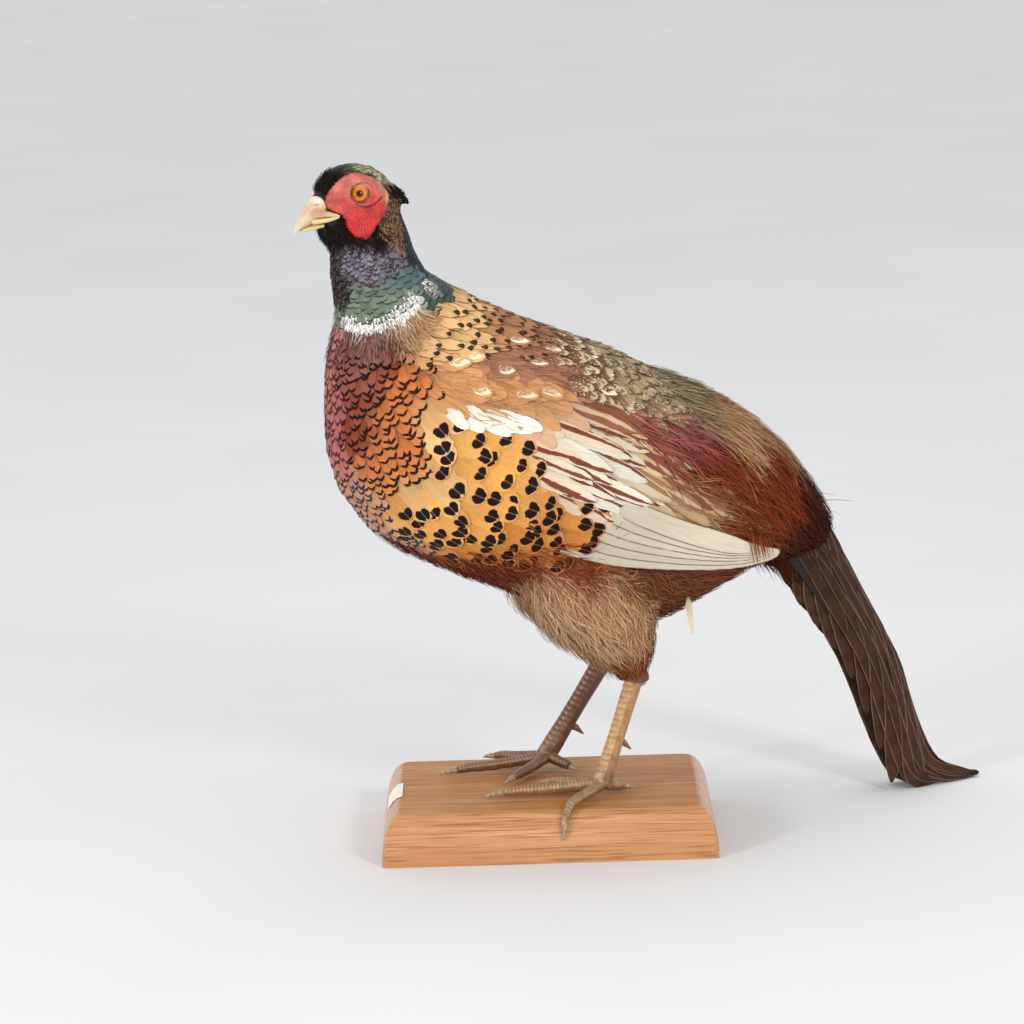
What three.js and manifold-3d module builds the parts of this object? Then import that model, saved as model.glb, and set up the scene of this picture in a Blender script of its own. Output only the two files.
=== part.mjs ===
// Cock pheasant, a life-size taxidermy mount on a moulded wooden base.
// Millimetres, +Z up. The origin is the middle of the base's underside.
// The bird is built facing -X, its left side at -Y, and is then turned on the base.
import * as THREE from "three";
import { mergeVertices } from "three/addons/utils/BufferGeometryUtils.js";
import Module from "manifold-3d";

const wasm = await Module();
wasm.setup();

// ---- driving sizes ----
const GAP = 0.3; // clearance where two pieces meet
const BIRD_X = 17; // where the bird's own zero stands on the base
const BIRD_Y = 5;
const BIRD_TURN = 21; // degrees the body is turned on the base
const HEAD_TURN = 6; // degrees the head is turned further to its left
const HEAD_PIVOT = -122; // the neck's upright axis, along the body

const BASE_LENGTH = 200;
const BASE_DEPTH = 150;
const BASE_HEIGHT = 30;
const BASE_SIDE = 3; // upright part of the base's edge
const BASE_ROUND_IN = 12; // how far the rounded edge draws in
const BASE_FRONT_CORNER = 3;
const BASE_BACK_CORNER = 16;
const LABEL_LENGTH = 31;
const LABEL_MIDDLE_Y = -8;
const LABEL_THICK = 0.4;
const LABEL_CLEAR = 0.5;

const EYE_RADIUS = 5.4;
const EYE_AT = { x: -10, y: 12.2, z: 399.2 };
const SHANK_WIDE = 8.6; // across the bird
const SHANK_DEEP = 11.6; // front to back
const TOE_THICK = 7.2;
const SPUR_THICK = 7;

// Rings of the body in side view: the ring's upper and lower point, its half width, the turn it shares
// with the head and the squareness of its outline. x runs from bill to tail.
const NECK_AND_TRUNK = [
  { ux: -101.5, uz: 387.5, lx: -145.5, lz: 367, half: 17.4, turn: 6, square: 2.1 },
  { ux: -96, uz: 374, lx: -145.6, lz: 361, half: 18.5, turn: 5, square: 2.1 },
  { ux: -93, uz: 363, lx: -145.4, lz: 350, half: 20, turn: 3.5, square: 2.1 },
  { ux: -86.5, uz: 350.5, lx: -144.4, lz: 337, half: 23, turn: 2, square: 2.1 },
  { ux: -69, uz: 340, lx: -145.5, lz: 322, half: 29, turn: 1, square: 2.1 },
  { ux: -50, uz: 330, lx: -149, lz: 306, half: 39, turn: 0, square: 2.1 },
  { ux: -34, uz: 323, lx: -151.5, lz: 290, half: 50, turn: 0, square: 2.1 },
  { ux: -14, uz: 314.5, lx: -152, lz: 269, half: 60, turn: 0, square: 2.1 },
  { ux: 6, uz: 306, lx: -151, lz: 244, half: 68, turn: 0, square: 2.15 },
  { ux: 28, uz: 297, lx: -144, lz: 218.5, half: 73, turn: 0, square: 2.2 },
  { ux: 48, uz: 286.5, lx: -128, lz: 195.5, half: 75, turn: 0, square: 2.2 },
  { ux: 66, uz: 277.5, lx: -106, lz: 181, half: 75, turn: 0, square: 2.2 },
  { ux: 84, uz: 269, lx: -79, lz: 167.5, half: 73.5, turn: 0, square: 2.2 },
  { ux: 104, uz: 257.5, lx: -46, lz: 152.5, half: 71, turn: 0, square: 2.2 },
  { ux: 123, uz: 243.5, lx: -12, lz: 139.5, half: 66, turn: 0, square: 2.15 },
  { ux: 138, uz: 229.5, lx: 20, lz: 127.5, half: 59, turn: 0, square: 2.1 },
  { ux: 149, uz: 217, lx: 50, lz: 121.5, half: 50, turn: 0, square: 2 },
  { ux: 158, uz: 204, lx: 76, lz: 131, half: 41, turn: 0, square: 2 },
  { ux: 165.5, uz: 192.5, lx: 95, lz: 142.5, half: 33, turn: 0, square: 2 },
  { ux: 171, uz: 181.5, lx: 113, lz: 151.5, half: 26, turn: 0, square: 2 },
  { ux: 175, uz: 170, lx: 130, lz: 152.5, half: 21, turn: 0, square: 2 },
];

// The head, x measured from the neck's axis.
const HEAD = [
  { ux: -33.5, uz: 398.5, lx: -30.5, lz: 384, half: 5.5, square: 2.2 },
  { ux: -31, uz: 405, lx: -30.5, lz: 378, half: 9, square: 2.2 },
  { ux: -25, uz: 411.5, lx: -29, lz: 373.5, half: 12, square: 2.3 },
  { ux: -17, uz: 416, lx: -27.5, lz: 371, half: 14.5, square: 2.4 },
  { ux: -6, uz: 416.6, lx: -26.3, lz: 369.8, half: 16, square: 2.4 },
  { ux: 4.5, uz: 414, lx: -25.6, lz: 369, half: 16.8, square: 2.3 },
  { ux: 13, uz: 408, lx: -25.2, lz: 368.4, half: 17, square: 2.2 },
  { ux: 19, uz: 398, lx: -24.9, lz: 367.8, half: 17, square: 2.15 },
  { ux: 20.5, uz: 387.5, lx: -23.5, lz: 367, half: 17.4, square: 2.1 },
];

const UPPER_BILL = [
  { ux: -23, uz: 398.5, lx: -17.5, lz: 386.6, half: 8.6, square: 2 },
  { ux: -31, uz: 398.6, lx: -25.5, lz: 385, half: 8.2, square: 2 },
  { ux: -36, uz: 395.6, lx: -31.5, lz: 383.6, half: 7, square: 2 },
  { ux: -40.6, uz: 391, lx: -37, lz: 382.2, half: 5.4, square: 2 },
  { ux: -44.2, uz: 385.4, lx: -41.4, lz: 380.6, half: 3.6, square: 2 },
  { ux: -46.8, uz: 380, lx: -44.9, lz: 378.2, half: 1.6, square: 2 },
  { ux: -47.4, uz: 377.4, lx: -46.6, lz: 376.7, half: 0.6, square: 2 },
];

const LOWER_BILL = [
  { ux: -18, uz: 386, lx: -19.5, lz: 382, half: 7.6, square: 2 },
  { ux: -26, uz: 384.4, lx: -27.3, lz: 380.4, half: 6.8, square: 2 },
  { ux: -33, uz: 382.7, lx: -33.8, lz: 379, half: 5, square: 2 },
  { ux: -38.5, uz: 381.2, lx: -39.2, lz: 378.4, half: 3.2, square: 2 },
  { ux: -42.3, uz: 379.8, lx: -42.6, lz: 378.6, half: 1.4, square: 2 },
];

// Folded wing seen from the side: along its axis, the reach above and below it.
const WING_FROM = { x: -112, z: 300 };
const WING_TO = { x: 128, z: 181 };
const WING_OUTLINE = [
  { along: 0, above: 5, below: 6 },
  { along: 10, above: 17, below: 13 },
  { along: 35, above: 30, below: 18 },
  { along: 75, above: 40, below: 20 },
  { along: 120, above: 46, below: 24 },
  { along: 160, above: 44, below: 27 },
  { along: 200, above: 34, below: 22 },
  { along: 235, above: 20, below: 13 },
  { along: 256, above: 9, below: 6 },
  { along: 264, above: 3, below: 2 },
];
const WING_LIFT = 5; // how far the wing stands out from the flank
const WING_SUNK = 6; // and how far it is let into it

// The flight feathers that show below the wing, as a fan from wrist side to tip.
const FLIGHT_ROOT_LOW = { x: 0, z: 190 };
const FLIGHT_ROOT_HIGH = { x: 26, z: 212 };
const FLIGHT_TIP = { x: 125, z: 171 };
const FLIGHT_COUNT = 4;
const FLIGHT_STEP = 16; // each feather's tip falls short of the next one's
const FLIGHT_HALF = 6.8; // half a feather's width
const FLIGHT_THICK = 1.6;
const FLIGHT_LIFT = 2.2; // how far they lie off the flank

// Thigh from hip to hock: front and back edge in side view, half width, distance from the middle plane.
const THIGH = [
  { ux: 46, uz: 166, lx: -44, lz: 176, half: 27, y: 40, square: 2 },
  { ux: 43, uz: 145, lx: -45, lz: 153, half: 26, y: 42, square: 2 },
  { ux: 40.5, uz: 130, lx: -33, lz: 132, half: 22, y: 42, square: 2 },
  { ux: 39, uz: 116, lx: -12, lz: 117.5, half: 17, y: 40.5, square: 2 },
  { ux: 37, uz: 105, lx: 3, lz: 108, half: 12.5, y: 38, square: 2 },
  { ux: 34.5, uz: 96.5, lx: 13, lz: 98, half: 8.5, y: 35.5, square: 2 },
  { ux: 32.5, uz: 91.5, lx: 18, lz: 92, half: 6.4, y: 34.2, square: 2 },
];
const RIGHT_THIGH_BACK = 15; // the right thigh is carried further back at the hip

// Tail in side view: the ridge, the hem, half the spread between the hems.
const TAIL = [
  { ux: 172, uz: 176, lx: 133, lz: 157, half: 18, bulge: 0.55 },
  { ux: 177, uz: 161, lx: 141, lz: 147, half: 18.5, bulge: 0.5 },
  { ux: 187, uz: 141, lx: 153, lz: 131, half: 18.5, bulge: 0.4 },
  { ux: 200, uz: 117, lx: 168, lz: 111, half: 18, bulge: 0.35 },
  { ux: 214, uz: 93, lx: 182, lz: 91, half: 17.5, bulge: 0.3 },
  { ux: 223, uz: 69, lx: 194, lz: 67, half: 16.5, bulge: 0.3 },
  { ux: 229, uz: 45, lx: 202, lz: 43, half: 15, bulge: 0.3 },
  { ux: 234, uz: 26, lx: 208, lz: 20, half: 13, bulge: 0.3 },
  { ux: 242, uz: 13, lx: 216, lz: 3.5, half: 11.5, bulge: 0.3 },
  { ux: 254, uz: 7.5, lx: 234, lz: 1.2, half: 9, bulge: 0.25 },
  { ux: 266, uz: 4.6, lx: 257, lz: 0.8, half: 5.5, bulge: 0.25 },
  { ux: 275, uz: 2.8, lx: 273, lz: 0.7, half: 2, bulge: 0.2 },
];
const TAIL_WALL = 3.4;

// Feet: the joint the toes leave from and each toe's tip, as x, y from the bird's zero.
const LEFT_FOOT = {
  hock: { x: 25.5, y: -34, z: 96 },
  joint: { x: 0.5, y: -43.6, z: 41 },
  toes: {
    middle: { x: -56, y: -23, z: 34, claw: 11 },
    inner: { x: -21, y: -11, z: 34, claw: 8 },
    hind: { x: 14, y: -42, z: 34, claw: 6 },
    outer: { x: -35.4, y: -70.5, z: 26.5, claw: 12.5, knuckle: { x: -29, y: -65, z: 34.2 } },
  },
  spur: { x: 12.5, y: -37.5, z: 62.5 },
};
const RIGHT_FOOT = {
  hock: { x: 31.5, y: 34, z: 91 },
  joint: { x: -4, y: 34.1, z: 41 },
  toes: {
    middle: { x: -61, y: 42.5, z: 34, claw: 11 },
    outer: { x: -27, y: 65, z: 34, claw: 9 },
    inner: { x: -37, y: 9, z: 34, claw: 10 },
    hind: { x: 4, y: 19, z: 34, claw: 6 },
  },
  spur: { x: 11.5, y: 36, z: 56 },
};

// ---- materials ----
const paint = (name, color, roughness) =>
  new THREE.MeshStandardMaterial({ name, color, roughness, metalness: 0 });

const WOOD = paint("varnished_wood", 0xb87a45, 0.35);
const PAPER = paint("white_paper", 0xf1efe9, 0.8);
const CHESTNUT = paint("chestnut_feather", 0x9a4f22, 0.7);
const NECK_GREEN = paint("blue_green_feather", 0x24463f, 0.45);
const HEAD_DARK = paint("dark_feather", 0x1d211d, 0.5);
const WING_TAN = paint("wing_feather", 0xa68462, 0.7);
const FLIGHT_CREAM = paint("cream_feather", 0xe3d6b8, 0.6);
const THIGH_BUFF = paint("buff_feather", 0x9a7248, 0.8);
const TAIL_BROWN = paint("tail_feather", 0x4a3021, 0.65);
const HORN = paint("pale_horn", 0xd9c796, 0.4);
const DARK_HORN = paint("dark_horn", 0x7d6a3f, 0.45);
const SCALES = paint("scaled_leg", 0xa98346, 0.45);
const WATTLE = paint("red_wattle", 0xb3201f, 0.6);
const GLASS = paint("amber_glass", 0xc8740f, 0.08);

// ---- helpers ----
const rad = THREE.MathUtils.degToRad;
const mix = THREE.MathUtils.lerp;
const point = (x, y, z) => new THREE.Vector3(x, y, z);

// A closed skin over rings that have equally many points, both ends filled.
function skin(rings) {
  const count = rings[0].length;
  const points = rings.flat();
  const faces = [];
  for (let r = 0; r < rings.length - 1; r++) {
    for (let k = 0; k < count; k++) {
      const a = r * count + k;
      const b = r * count + ((k + 1) % count);
      faces.push(a, b, a + count, b, b + count, a + count);
    }
  }
  for (const [first, flip] of [[0, true], [(rings.length - 1) * count, false]]) {
    const centre = points.length;
    const ring = points.slice(first, first + count);
    points.push(ring.reduce((sum, p) => sum.add(p), point(0, 0, 0)).divideScalar(count));
    for (let k = 0; k < count; k++) {
      const a = first + k;
      const b = first + ((k + 1) % count);
      faces.push(...(flip ? [centre, b, a] : [centre, a, b]));
    }
  }
  return solid(points, faces);
}

// A manifold solid from points and triangles, turned inside out where it needs to be.
function solid(points, faces) {
  const geometry = new THREE.BufferGeometry().setFromPoints(points);
  geometry.setIndex(faces);
  const merged = mergeVertices(geometry, 1e-4);
  const vertProperties = merged.attributes.position.array;
  const triVerts = new Uint32Array(merged.index.array);
  const build = () => new wasm.Manifold(new wasm.Mesh({ numProp: 3, vertProperties, triVerts }));
  let made = build();
  if (made.volume() < 0) {
    for (let i = 0; i < triVerts.length; i += 3) {
      [triVerts[i + 1], triVerts[i + 2]] = [triVerts[i + 2], triVerts[i + 1]];
    }
    made = build();
  }
  return made;
}

// A point of a ring; the head's turn swings it about the neck's axis.
function ringPoint(s, angle, grow) {
  const c = Math.cos(angle);
  const w = Math.sin(angle);
  const power = 2 / s.square;
  const up = Math.sign(c) * Math.abs(c) ** power;
  const side = Math.sign(w) * Math.abs(w) ** power;
  const half = Math.hypot(s.ux - s.lx, s.uz - s.lz) / 2;
  const reach = up * (1 + grow / half);
  const x = (s.ux + s.lx) / 2 + ((s.ux - s.lx) / 2) * reach;
  const z = (s.uz + s.lz) / 2 + ((s.uz - s.lz) / 2) * reach;
  return point(x, (s.y || 0) + side * (s.half + grow), z);
}

function swing(p, degrees) {
  const turn = rad(degrees);
  const [x, y] = [p.x - HEAD_PIVOT, p.y];
  const along = x * Math.cos(turn) - y * Math.sin(turn);
  return point(HEAD_PIVOT + along, x * Math.sin(turn) + y * Math.cos(turn), p.z);
}

function loft(stations, sides, grow = 0) {
  const rings = stations.map((s) => {
    const ring = [];
    for (let k = 0; k < sides; k++) {
      ring.push(swing(ringPoint(s, (2 * Math.PI * k) / sides, grow), s.turn || 0));
    }
    return ring;
  });
  return skin(rings);
}

// Moves the first or last ring along the body, so two neighbours leave a clearance.
function drawBack(stations, first, distance) {
  const out = stations.map((s) => ({ ...s }));
  const [end, next] = first ? [out[0], out[1]] : [out[out.length - 1], out[out.length - 2]];
  const dx = (next.ux + next.lx - end.ux - end.lx) / 2;
  const dz = (next.uz + next.lz - end.uz - end.lz) / 2;
  const share = distance / Math.hypot(dx, dz);
  for (const key of ["ux", "uz", "lx", "lz", "half"]) {
    end[key] = mix(end[key], next[key], share);
  }
  return out;
}

// How far out a lofted body's side lies at a place in side view.
function sideOf(stations, x, z) {
  let best = { miss: Infinity, out: 0 };
  for (let i = 0; i < stations.length - 1; i++) {
    const [a, b] = [stations[i], stations[i + 1]];
    const cross = (s) => (s.ux - s.lx) * (z - s.lz) - (s.uz - s.lz) * (x - s.lx);
    const [ca, cb] = [cross(a), cross(b)];
    if (ca * cb > 0) continue;
    const t = ca === cb ? 0 : ca / (ca - cb);
    const s = Object.fromEntries(Object.keys(a).map((key) => [key, mix(a[key], b[key], t)]));
    const half = Math.hypot(s.ux - s.lx, s.uz - s.lz) / 2;
    const off = Math.hypot(x - (s.ux + s.lx) / 2, z - (s.uz + s.lz) / 2) / half;
    const miss = Math.max(0, off - 1);
    if (miss < best.miss) {
      const inside = Math.min(off, 0.985);
      best = { miss, out: s.half * (1 - inside ** s.square) ** (1 / s.square) };
    }
  }
  return best.out;
}

// A slab laid on a body's side: a grid of places in side view, with its inner and outer distance.
function slab(grid, left) {
  const side = left ? -1 : 1;
  const rows = grid.length;
  const cols = grid[0].length;
  const points = [];
  for (const key of ["outer", "inner"]) {
    for (const row of grid) {
      for (const p of row) points.push(point(p.x, side * p[key], p.z));
    }
  }
  const faces = [];
  const id = (layer, r, c) => layer * rows * cols + r * cols + c;
  for (let r = 0; r < rows - 1; r++) {
    for (let c = 0; c < cols - 1; c++) {
      const [a, b, d, e] = [id(0, r, c), id(0, r, c + 1), id(0, r + 1, c), id(0, r + 1, c + 1)];
      faces.push(a, b, d, b, e, d);
      const under = rows * cols;
      faces.push(a + under, d + under, b + under, b + under, d + under, e + under);
    }
  }
  const rim = [];
  for (let c = 0; c < cols; c++) rim.push([0, c]);
  for (let r = 1; r < rows; r++) rim.push([r, cols - 1]);
  for (let c = cols - 2; c >= 0; c--) rim.push([rows - 1, c]);
  for (let r = rows - 2; r > 0; r--) rim.push([r, 0]);
  for (let k = 0; k < rim.length; k++) {
    const [r, c] = rim[k];
    const [r2, c2] = rim[(k + 1) % rim.length];
    const [a, b, d, e] = [id(0, r, c), id(0, r2, c2), id(1, r, c), id(1, r2, c2)];
    faces.push(a, d, b, b, d, e);
  }
  return solid(points, faces);
}

// A round tube through points, its radii given at each of them.
function tube(path, radii, sides, flat = 1) {
  const curve = new THREE.CatmullRomCurve3(path, false, "centripetal");
  const steps = path.length - 1;
  const rings = [];
  for (let i = 0; i <= steps; i++) {
    const t = i / steps;
    const centre = curve.getPoint(t);
    const along = curve.getTangent(t);
    const across = point(-along.y, along.x, 0);
    if (across.length() < 0.2) across.set(0, 1, 0);
    across.normalize();
    const up = along.clone().cross(across).normalize();
    const f = t * (path.length - 1);
    const k = Math.min(Math.floor(f), path.length - 2);
    const radius = mix(radii[k], radii[k + 1], f - k);
    const ring = [];
    for (let a = 0; a < sides; a++) {
      const turn = (2 * Math.PI * a) / sides;
      ring.push(
        centre
          .clone()
          .addScaledVector(across, radius * flat * Math.cos(turn))
          .addScaledVector(up, radius * Math.sin(turn)),
      );
    }
    rings.push(ring);
  }
  return skin(rings);
}

function ball(centre, radius) {
  const sphere = new THREE.SphereGeometry(radius, 12, 8);
  sphere.translate(centre.x, centre.y, centre.z);
  const merged = mergeVertices(sphere.deleteAttribute("normal").deleteAttribute("uv"), 1e-4);
  const points = [];
  for (let i = 0; i < merged.attributes.position.count; i++) {
    points.push(point(0, 0, 0).fromBufferAttribute(merged.attributes.position, i));
  }
  return solid(points, [...merged.index.array]);
}

function meshOf(name, body, material) {
  const mesh = body.getMesh();
  const geometry = new THREE.BufferGeometry();
  geometry.setAttribute("position", new THREE.BufferAttribute(mesh.vertProperties, 3));
  geometry.setIndex(new THREE.BufferAttribute(mesh.triVerts, 1));
  geometry.computeVertexNormals();
  const made = new THREE.Mesh(geometry, material);
  made.name = name;
  return made;
}

// ---- base ----
function baseProfile(grow) {
  const rows = [{ inset: 0, z: 0 }];
  const steps = 6;
  for (let i = 0; i <= steps; i++) {
    const a = (Math.PI / 2) * (i / steps);
    rows.push({
      inset: BASE_ROUND_IN * (1 - Math.cos(a)) - grow * Math.cos(a),
      z: BASE_SIDE + (BASE_HEIGHT - BASE_SIDE) * Math.sin(a) + grow * Math.sin(a),
    });
  }
  return rows;
}

function baseBoard() {
  const corners = [[1, 1], [-1, 1], [-1, -1], [1, -1]];
  const rings = baseProfile(0).map(({ inset, z }) =>
    corners.flatMap(([sx, sy], q) => {
      const round = Math.max(1, (sy > 0 ? BASE_BACK_CORNER : BASE_FRONT_CORNER) - inset);
      const steps = 3;
      return Array.from({ length: steps + 1 }, (_, k) => {
        const a = (Math.PI / 2) * (q + k / steps);
        const x = sx * (BASE_LENGTH / 2 - inset - round) + round * Math.cos(a);
        const y = sy * (BASE_DEPTH / 2 - inset - round) + round * Math.sin(a);
        return point(x, y, z);
      });
    }),
  );
  return skin(rings);
}

// Blank paper label on the base's left end, following the rounded edge.
function label() {
  const under = baseProfile(LABEL_CLEAR).slice(4);
  const over = baseProfile(LABEL_CLEAR + LABEL_THICK).slice(4);
  const rings = under.map((low, i) => {
    const ends = [-1, 1].map((end) => LABEL_MIDDLE_Y + (end * LABEL_LENGTH) / 2);
    const place = (row, y) => point(-BASE_LENGTH / 2 + row.inset, y, row.z);
    return [place(low, ends[0]), place(low, ends[1]), place(over[i], ends[1]), place(over[i], ends[0])];
  });
  return skin(rings);
}

// ---- body ----
const trunkRows = NECK_AND_TRUNK;
const NECK_RINGS = 6; // how many of the rings belong to the neck
const headRows = HEAD.map((s) => ({
  ...s,
  ux: s.ux + HEAD_PIVOT,
  lx: s.lx + HEAD_PIVOT,
  turn: HEAD_TURN,
}));
const neckRows = drawBack(trunkRows.slice(0, NECK_RINGS), false, GAP);
const bodyRows = trunkRows.slice(NECK_RINGS - 1);

// Puts a part of the head, built straight ahead, where the turned head holds it.
const onHead = (body) => {
  const turned = new THREE.Matrix4().makeTranslation(HEAD_PIVOT, 0, 0);
  turned.multiply(new THREE.Matrix4().makeRotationZ(rad(HEAD_TURN)));
  return body.transform(turned.toArray());
};

const billLoft = (rows, grow) => onHead(loft(rows, 14, grow));
const eyeAt = (left) => point(EYE_AT.x, left ? -EYE_AT.y : EYE_AT.y, EYE_AT.z);
const eyeBall = (left, grow) => onHead(ball(eyeAt(left), EYE_RADIUS + grow));

// Bare red skin round the eye: an oval with a lobe hanging below and a lore reaching to the bill.
const WATTLE_TOP = 11.8;
const WATTLE_REAR = 18.5;
const WATTLE_LORE = 17.5;
const WATTLE_LOBE = 26;
function wattleReach(angle) {
  const back = Math.cos(angle);
  const up = Math.sin(angle);
  const oval = back > 0 ? mix(WATTLE_TOP, WATTLE_REAR, back ** 2) : mix(WATTLE_TOP, WATTLE_LORE, back ** 2);
  const lobe = up < 0 ? (WATTLE_LOBE - WATTLE_TOP) * (-up) ** 3 : 0;
  return oval + lobe;
}

const headAndNeck = [...headRows, ...neckRows.slice(1)];
const straightHead = headAndNeck.map((s) => ({
  ...s,
  ux: s.ux - HEAD_PIVOT,
  lx: s.lx - HEAD_PIVOT,
  turn: 0,
}));
function wattle(left, grow) {
  const grid = [];
  const rounds = 16;
  const spread = 2;
  for (let ring = 0; ring <= spread; ring++) {
    const row = [];
    for (let k = 0; k < rounds; k++) {
      const angle = (2 * Math.PI * k) / rounds;
      const reach = wattleReach(angle) * (ring / spread);
      const place = (r) => ({ x: EYE_AT.x + Math.cos(angle) * r, z: EYE_AT.z + Math.sin(angle) * r });
      const side = sideOf(straightHead, place(reach).x, place(reach).z);
      const { x, z } = place(ring === spread ? reach + grow : reach);
      const thick = ring === spread ? 0.5 : 1.1;
      const inner = Math.max(2.4 - grow, side - 2.2 - grow);
      row.push({ x, z, outer: Math.max(side + thick, 5) + grow, inner });
    }
    grid.push(row);
  }
  return onHead(plaque(grid, left));
}

// A closed plaque from rings of places round a middle, each with its inner and outer distance.
function plaque(rings, left) {
  const side = left ? -1 : 1;
  const shells = ["outer", "inner"].map((key) =>
    rings.slice(1).map((ring) => ring.map((p) => point(p.x, side * p[key], p.z))),
  );
  return skin([...shells[0], ...shells[1].reverse()]);
}

// Feather tuft at the back of the crown.
function earTuft(left, grow) {
  const side = left ? -1 : 1;
  const path = [
    point(7, side * 12, 404),
    point(13.5, side * 11.8, 400),
    point(19.5, side * 11, 394.5),
    point(24, side * 9.5, 389.5),
  ];
  return onHead(tube(path, [3.2, 3.9, 3.4, 1.7].map((r) => r + grow), 8, 0.7));
}

function wingSlab(left, grow) {
  const rows = WING_OUTLINE;
  const dx = WING_TO.x - WING_FROM.x;
  const dz = WING_TO.z - WING_FROM.z;
  const length = Math.hypot(dx, dz);
  const [ax, az] = [dx / length, dz / length];
  const across = 6;
  const grid = rows.map((row, r) => {
    const line = [];
    for (let c = 0; c <= across; c++) {
      const t = c / across;
      const place = (along, off) => ({
        x: WING_FROM.x + ax * along - az * off,
        z: WING_FROM.z + az * along + ax * off,
      });
      const off = mix(-row.below, row.above, t);
      const side = sideOf(bodyRows, place(row.along, off).x, place(row.along, off).z);
      const widen = c === 0 ? -grow : c === across ? grow : 0;
      const lengthen = r === 0 ? -grow : r === rows.length - 1 ? grow : 0;
      const { x, z } = place(row.along + lengthen, off + widen);
      const edge = Math.min(1, Math.sin(Math.PI * mix(0.09, 0.91, t)) * 1.25);
      const ends = Math.min(1, 0.4 + r / 3, 0.4 + (rows.length - 1 - r) / 3);
      const lift = WING_LIFT * edge * ends;
      line.push({ x, z, outer: side + lift + grow, inner: Math.max(4, side - WING_SUNK - grow) });
    }
    return line;
  });
  return slab(grid, left);
}

function flightSlab(left, grow) {
  const parts = [];
  for (let f = 0; f < FLIGHT_COUNT; f++) {
    const share = f / (FLIGHT_COUNT - 1);
    const root = {
      x: mix(FLIGHT_ROOT_LOW.x, FLIGHT_ROOT_HIGH.x, share),
      z: mix(FLIGHT_ROOT_LOW.z, FLIGHT_ROOT_HIGH.z, share),
    };
    const tip = {
      x: FLIGHT_TIP.x - FLIGHT_STEP * (FLIGHT_COUNT - 1 - f) * 0.9,
      z: FLIGHT_TIP.z - 1.2 * (FLIGHT_COUNT - 1 - f),
    };
    const [dx, dz] = [tip.x - root.x, tip.z - root.z];
    const length = Math.hypot(dx, dz);
    const [ax, az] = [dx / length, dz / length];
    const grid = [];
    for (let r = 0; r <= 4; r++) {
      const t = 1 - (1 - r / 4) ** 1.6;
      const half = FLIGHT_HALF * Math.sqrt(Math.max(0.06, 1 - t ** 6));
      const line = [];
      for (const c of [0, 1]) {
        const place = (along, off) => ({
          x: root.x + ax * along - az * off,
          z: root.z + az * along + ax * off,
        });
        const off = mix(-half, half, c);
        const under = place(length * t, off);
        const side = Math.max(sideOf(bodyRows, under.x, under.z), mix(60, 31, t));
        const { x, z } = place(mix(-grow, length + grow, t), off + mix(-grow, grow, c));
        const inner = side + FLIGHT_LIFT - grow;
        line.push({ x, z, outer: side + FLIGHT_LIFT + FLIGHT_THICK + grow, inner });
      }
      grid.push(line);
    }
    parts.push(slab(grid, left));
  }
  return parts.reduce((a, b) => a.add(b));
}

function thigh(foot, left, grow) {
  const side = left ? -1 : 1;
  const last = THIGH[THIGH.length - 1];
  const rows = THIGH.map((s, i) => {
    const share = (i / (THIGH.length - 1)) ** 2;
    const moveX = share * (foot.hock.x - (last.ux + last.lx) / 2);
    const moveZ = share * (foot.hock.z - 3 - last.uz);
    return {
      ...s,
      ux: s.ux + moveX + (left ? 0 : RIGHT_THIGH_BACK * 0.4 * (1 - share)),
      lx: s.lx + moveX + (left ? 0 : RIGHT_THIGH_BACK * (1 - share)),
      uz: s.uz + moveZ,
      lz: s.lz + moveZ,
      y: side * mix(s.y, Math.abs(foot.hock.y), share),
    };
  });
  return loft(rows, 14, grow);
}

// ---- legs ----
const asPoint = (p) => point(p.x, p.y, p.z);

function shank(foot, grow) {
  const top = asPoint(foot.hock);
  const foot0 = asPoint(foot.joint);
  const at = (t, dz = 0) => top.clone().lerp(foot0, t).add(point(0, 0, dz));
  const path = [at(-0.12), at(0.12), at(0.35), at(0.65), at(0.88), at(1.08)];
  const radii = [1.1, 1.06, 1, 1, 1.1, 1.12].map((r) => (r * SHANK_DEEP) / 2 + grow);
  return tube(path, radii, 10, SHANK_WIDE / SHANK_DEEP);
}

function toePath(foot, toe) {
  const from = asPoint(foot.joint).add(point(0, 0, -3.6));
  const to = asPoint(toe);
  const mid = (t, z) => from.clone().lerp(to, t).setZ(z);
  if (toe.knuckle) {
    const bend = asPoint(toe.knuckle);
    return [mid(0.08, 37.6), from.clone().lerp(bend, 0.4), from.clone().lerp(bend, 0.75), bend, to];
  }
  return [mid(0.08, 37.6), mid(0.3, 36.6), mid(0.62, 35.2), mid(0.86, 34.8), to];
}

function toe(foot, name, grow) {
  const half = TOE_THICK / 2;
  const radii = [half * 1.05, half, half * 0.95, half * 0.85, half * 0.68].map((r) => r + grow);
  return tube(toePath(foot, foot.toes[name]), radii, 8, 0.92);
}

function claw(foot, name, grow) {
  const tip = foot.toes[name];
  const path = toePath(foot, tip);
  const to = path[path.length - 1];
  const along = to.clone().sub(path[path.length - 2]).setZ(0).normalize();
  // The claw of a toe that hangs over the base's edge points down, the others lie forward.
  const reach = (t) => (tip.knuckle ? 2.6 * t : tip.claw * t);
  const drop = (t) => (tip.knuckle ? -tip.claw * t : -1.8 * t * t);
  const at = (t) => to.clone().addScaledVector(along, reach(t) + 0.4).add(point(0, 0, drop(t)));
  return tube([at(-0.1), at(0.35), at(0.7), at(1)], [2.2, 1.9, 1.2, 0.5].map((r) => r + grow), 6);
}

function spur(foot, grow) {
  const at = asPoint(foot.spur);
  const out = at.clone().add(point(8.5, -1, -7));
  const from = at.clone().add(point(-4, 0, 1.2));
  const bend = at.clone().lerp(out, 0.45).add(point(0, 0, 0.8));
  return tube([from, bend, out], [SPUR_THICK / 2, SPUR_THICK / 3, 0.55].map((r) => r + grow), 6);
}

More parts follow.
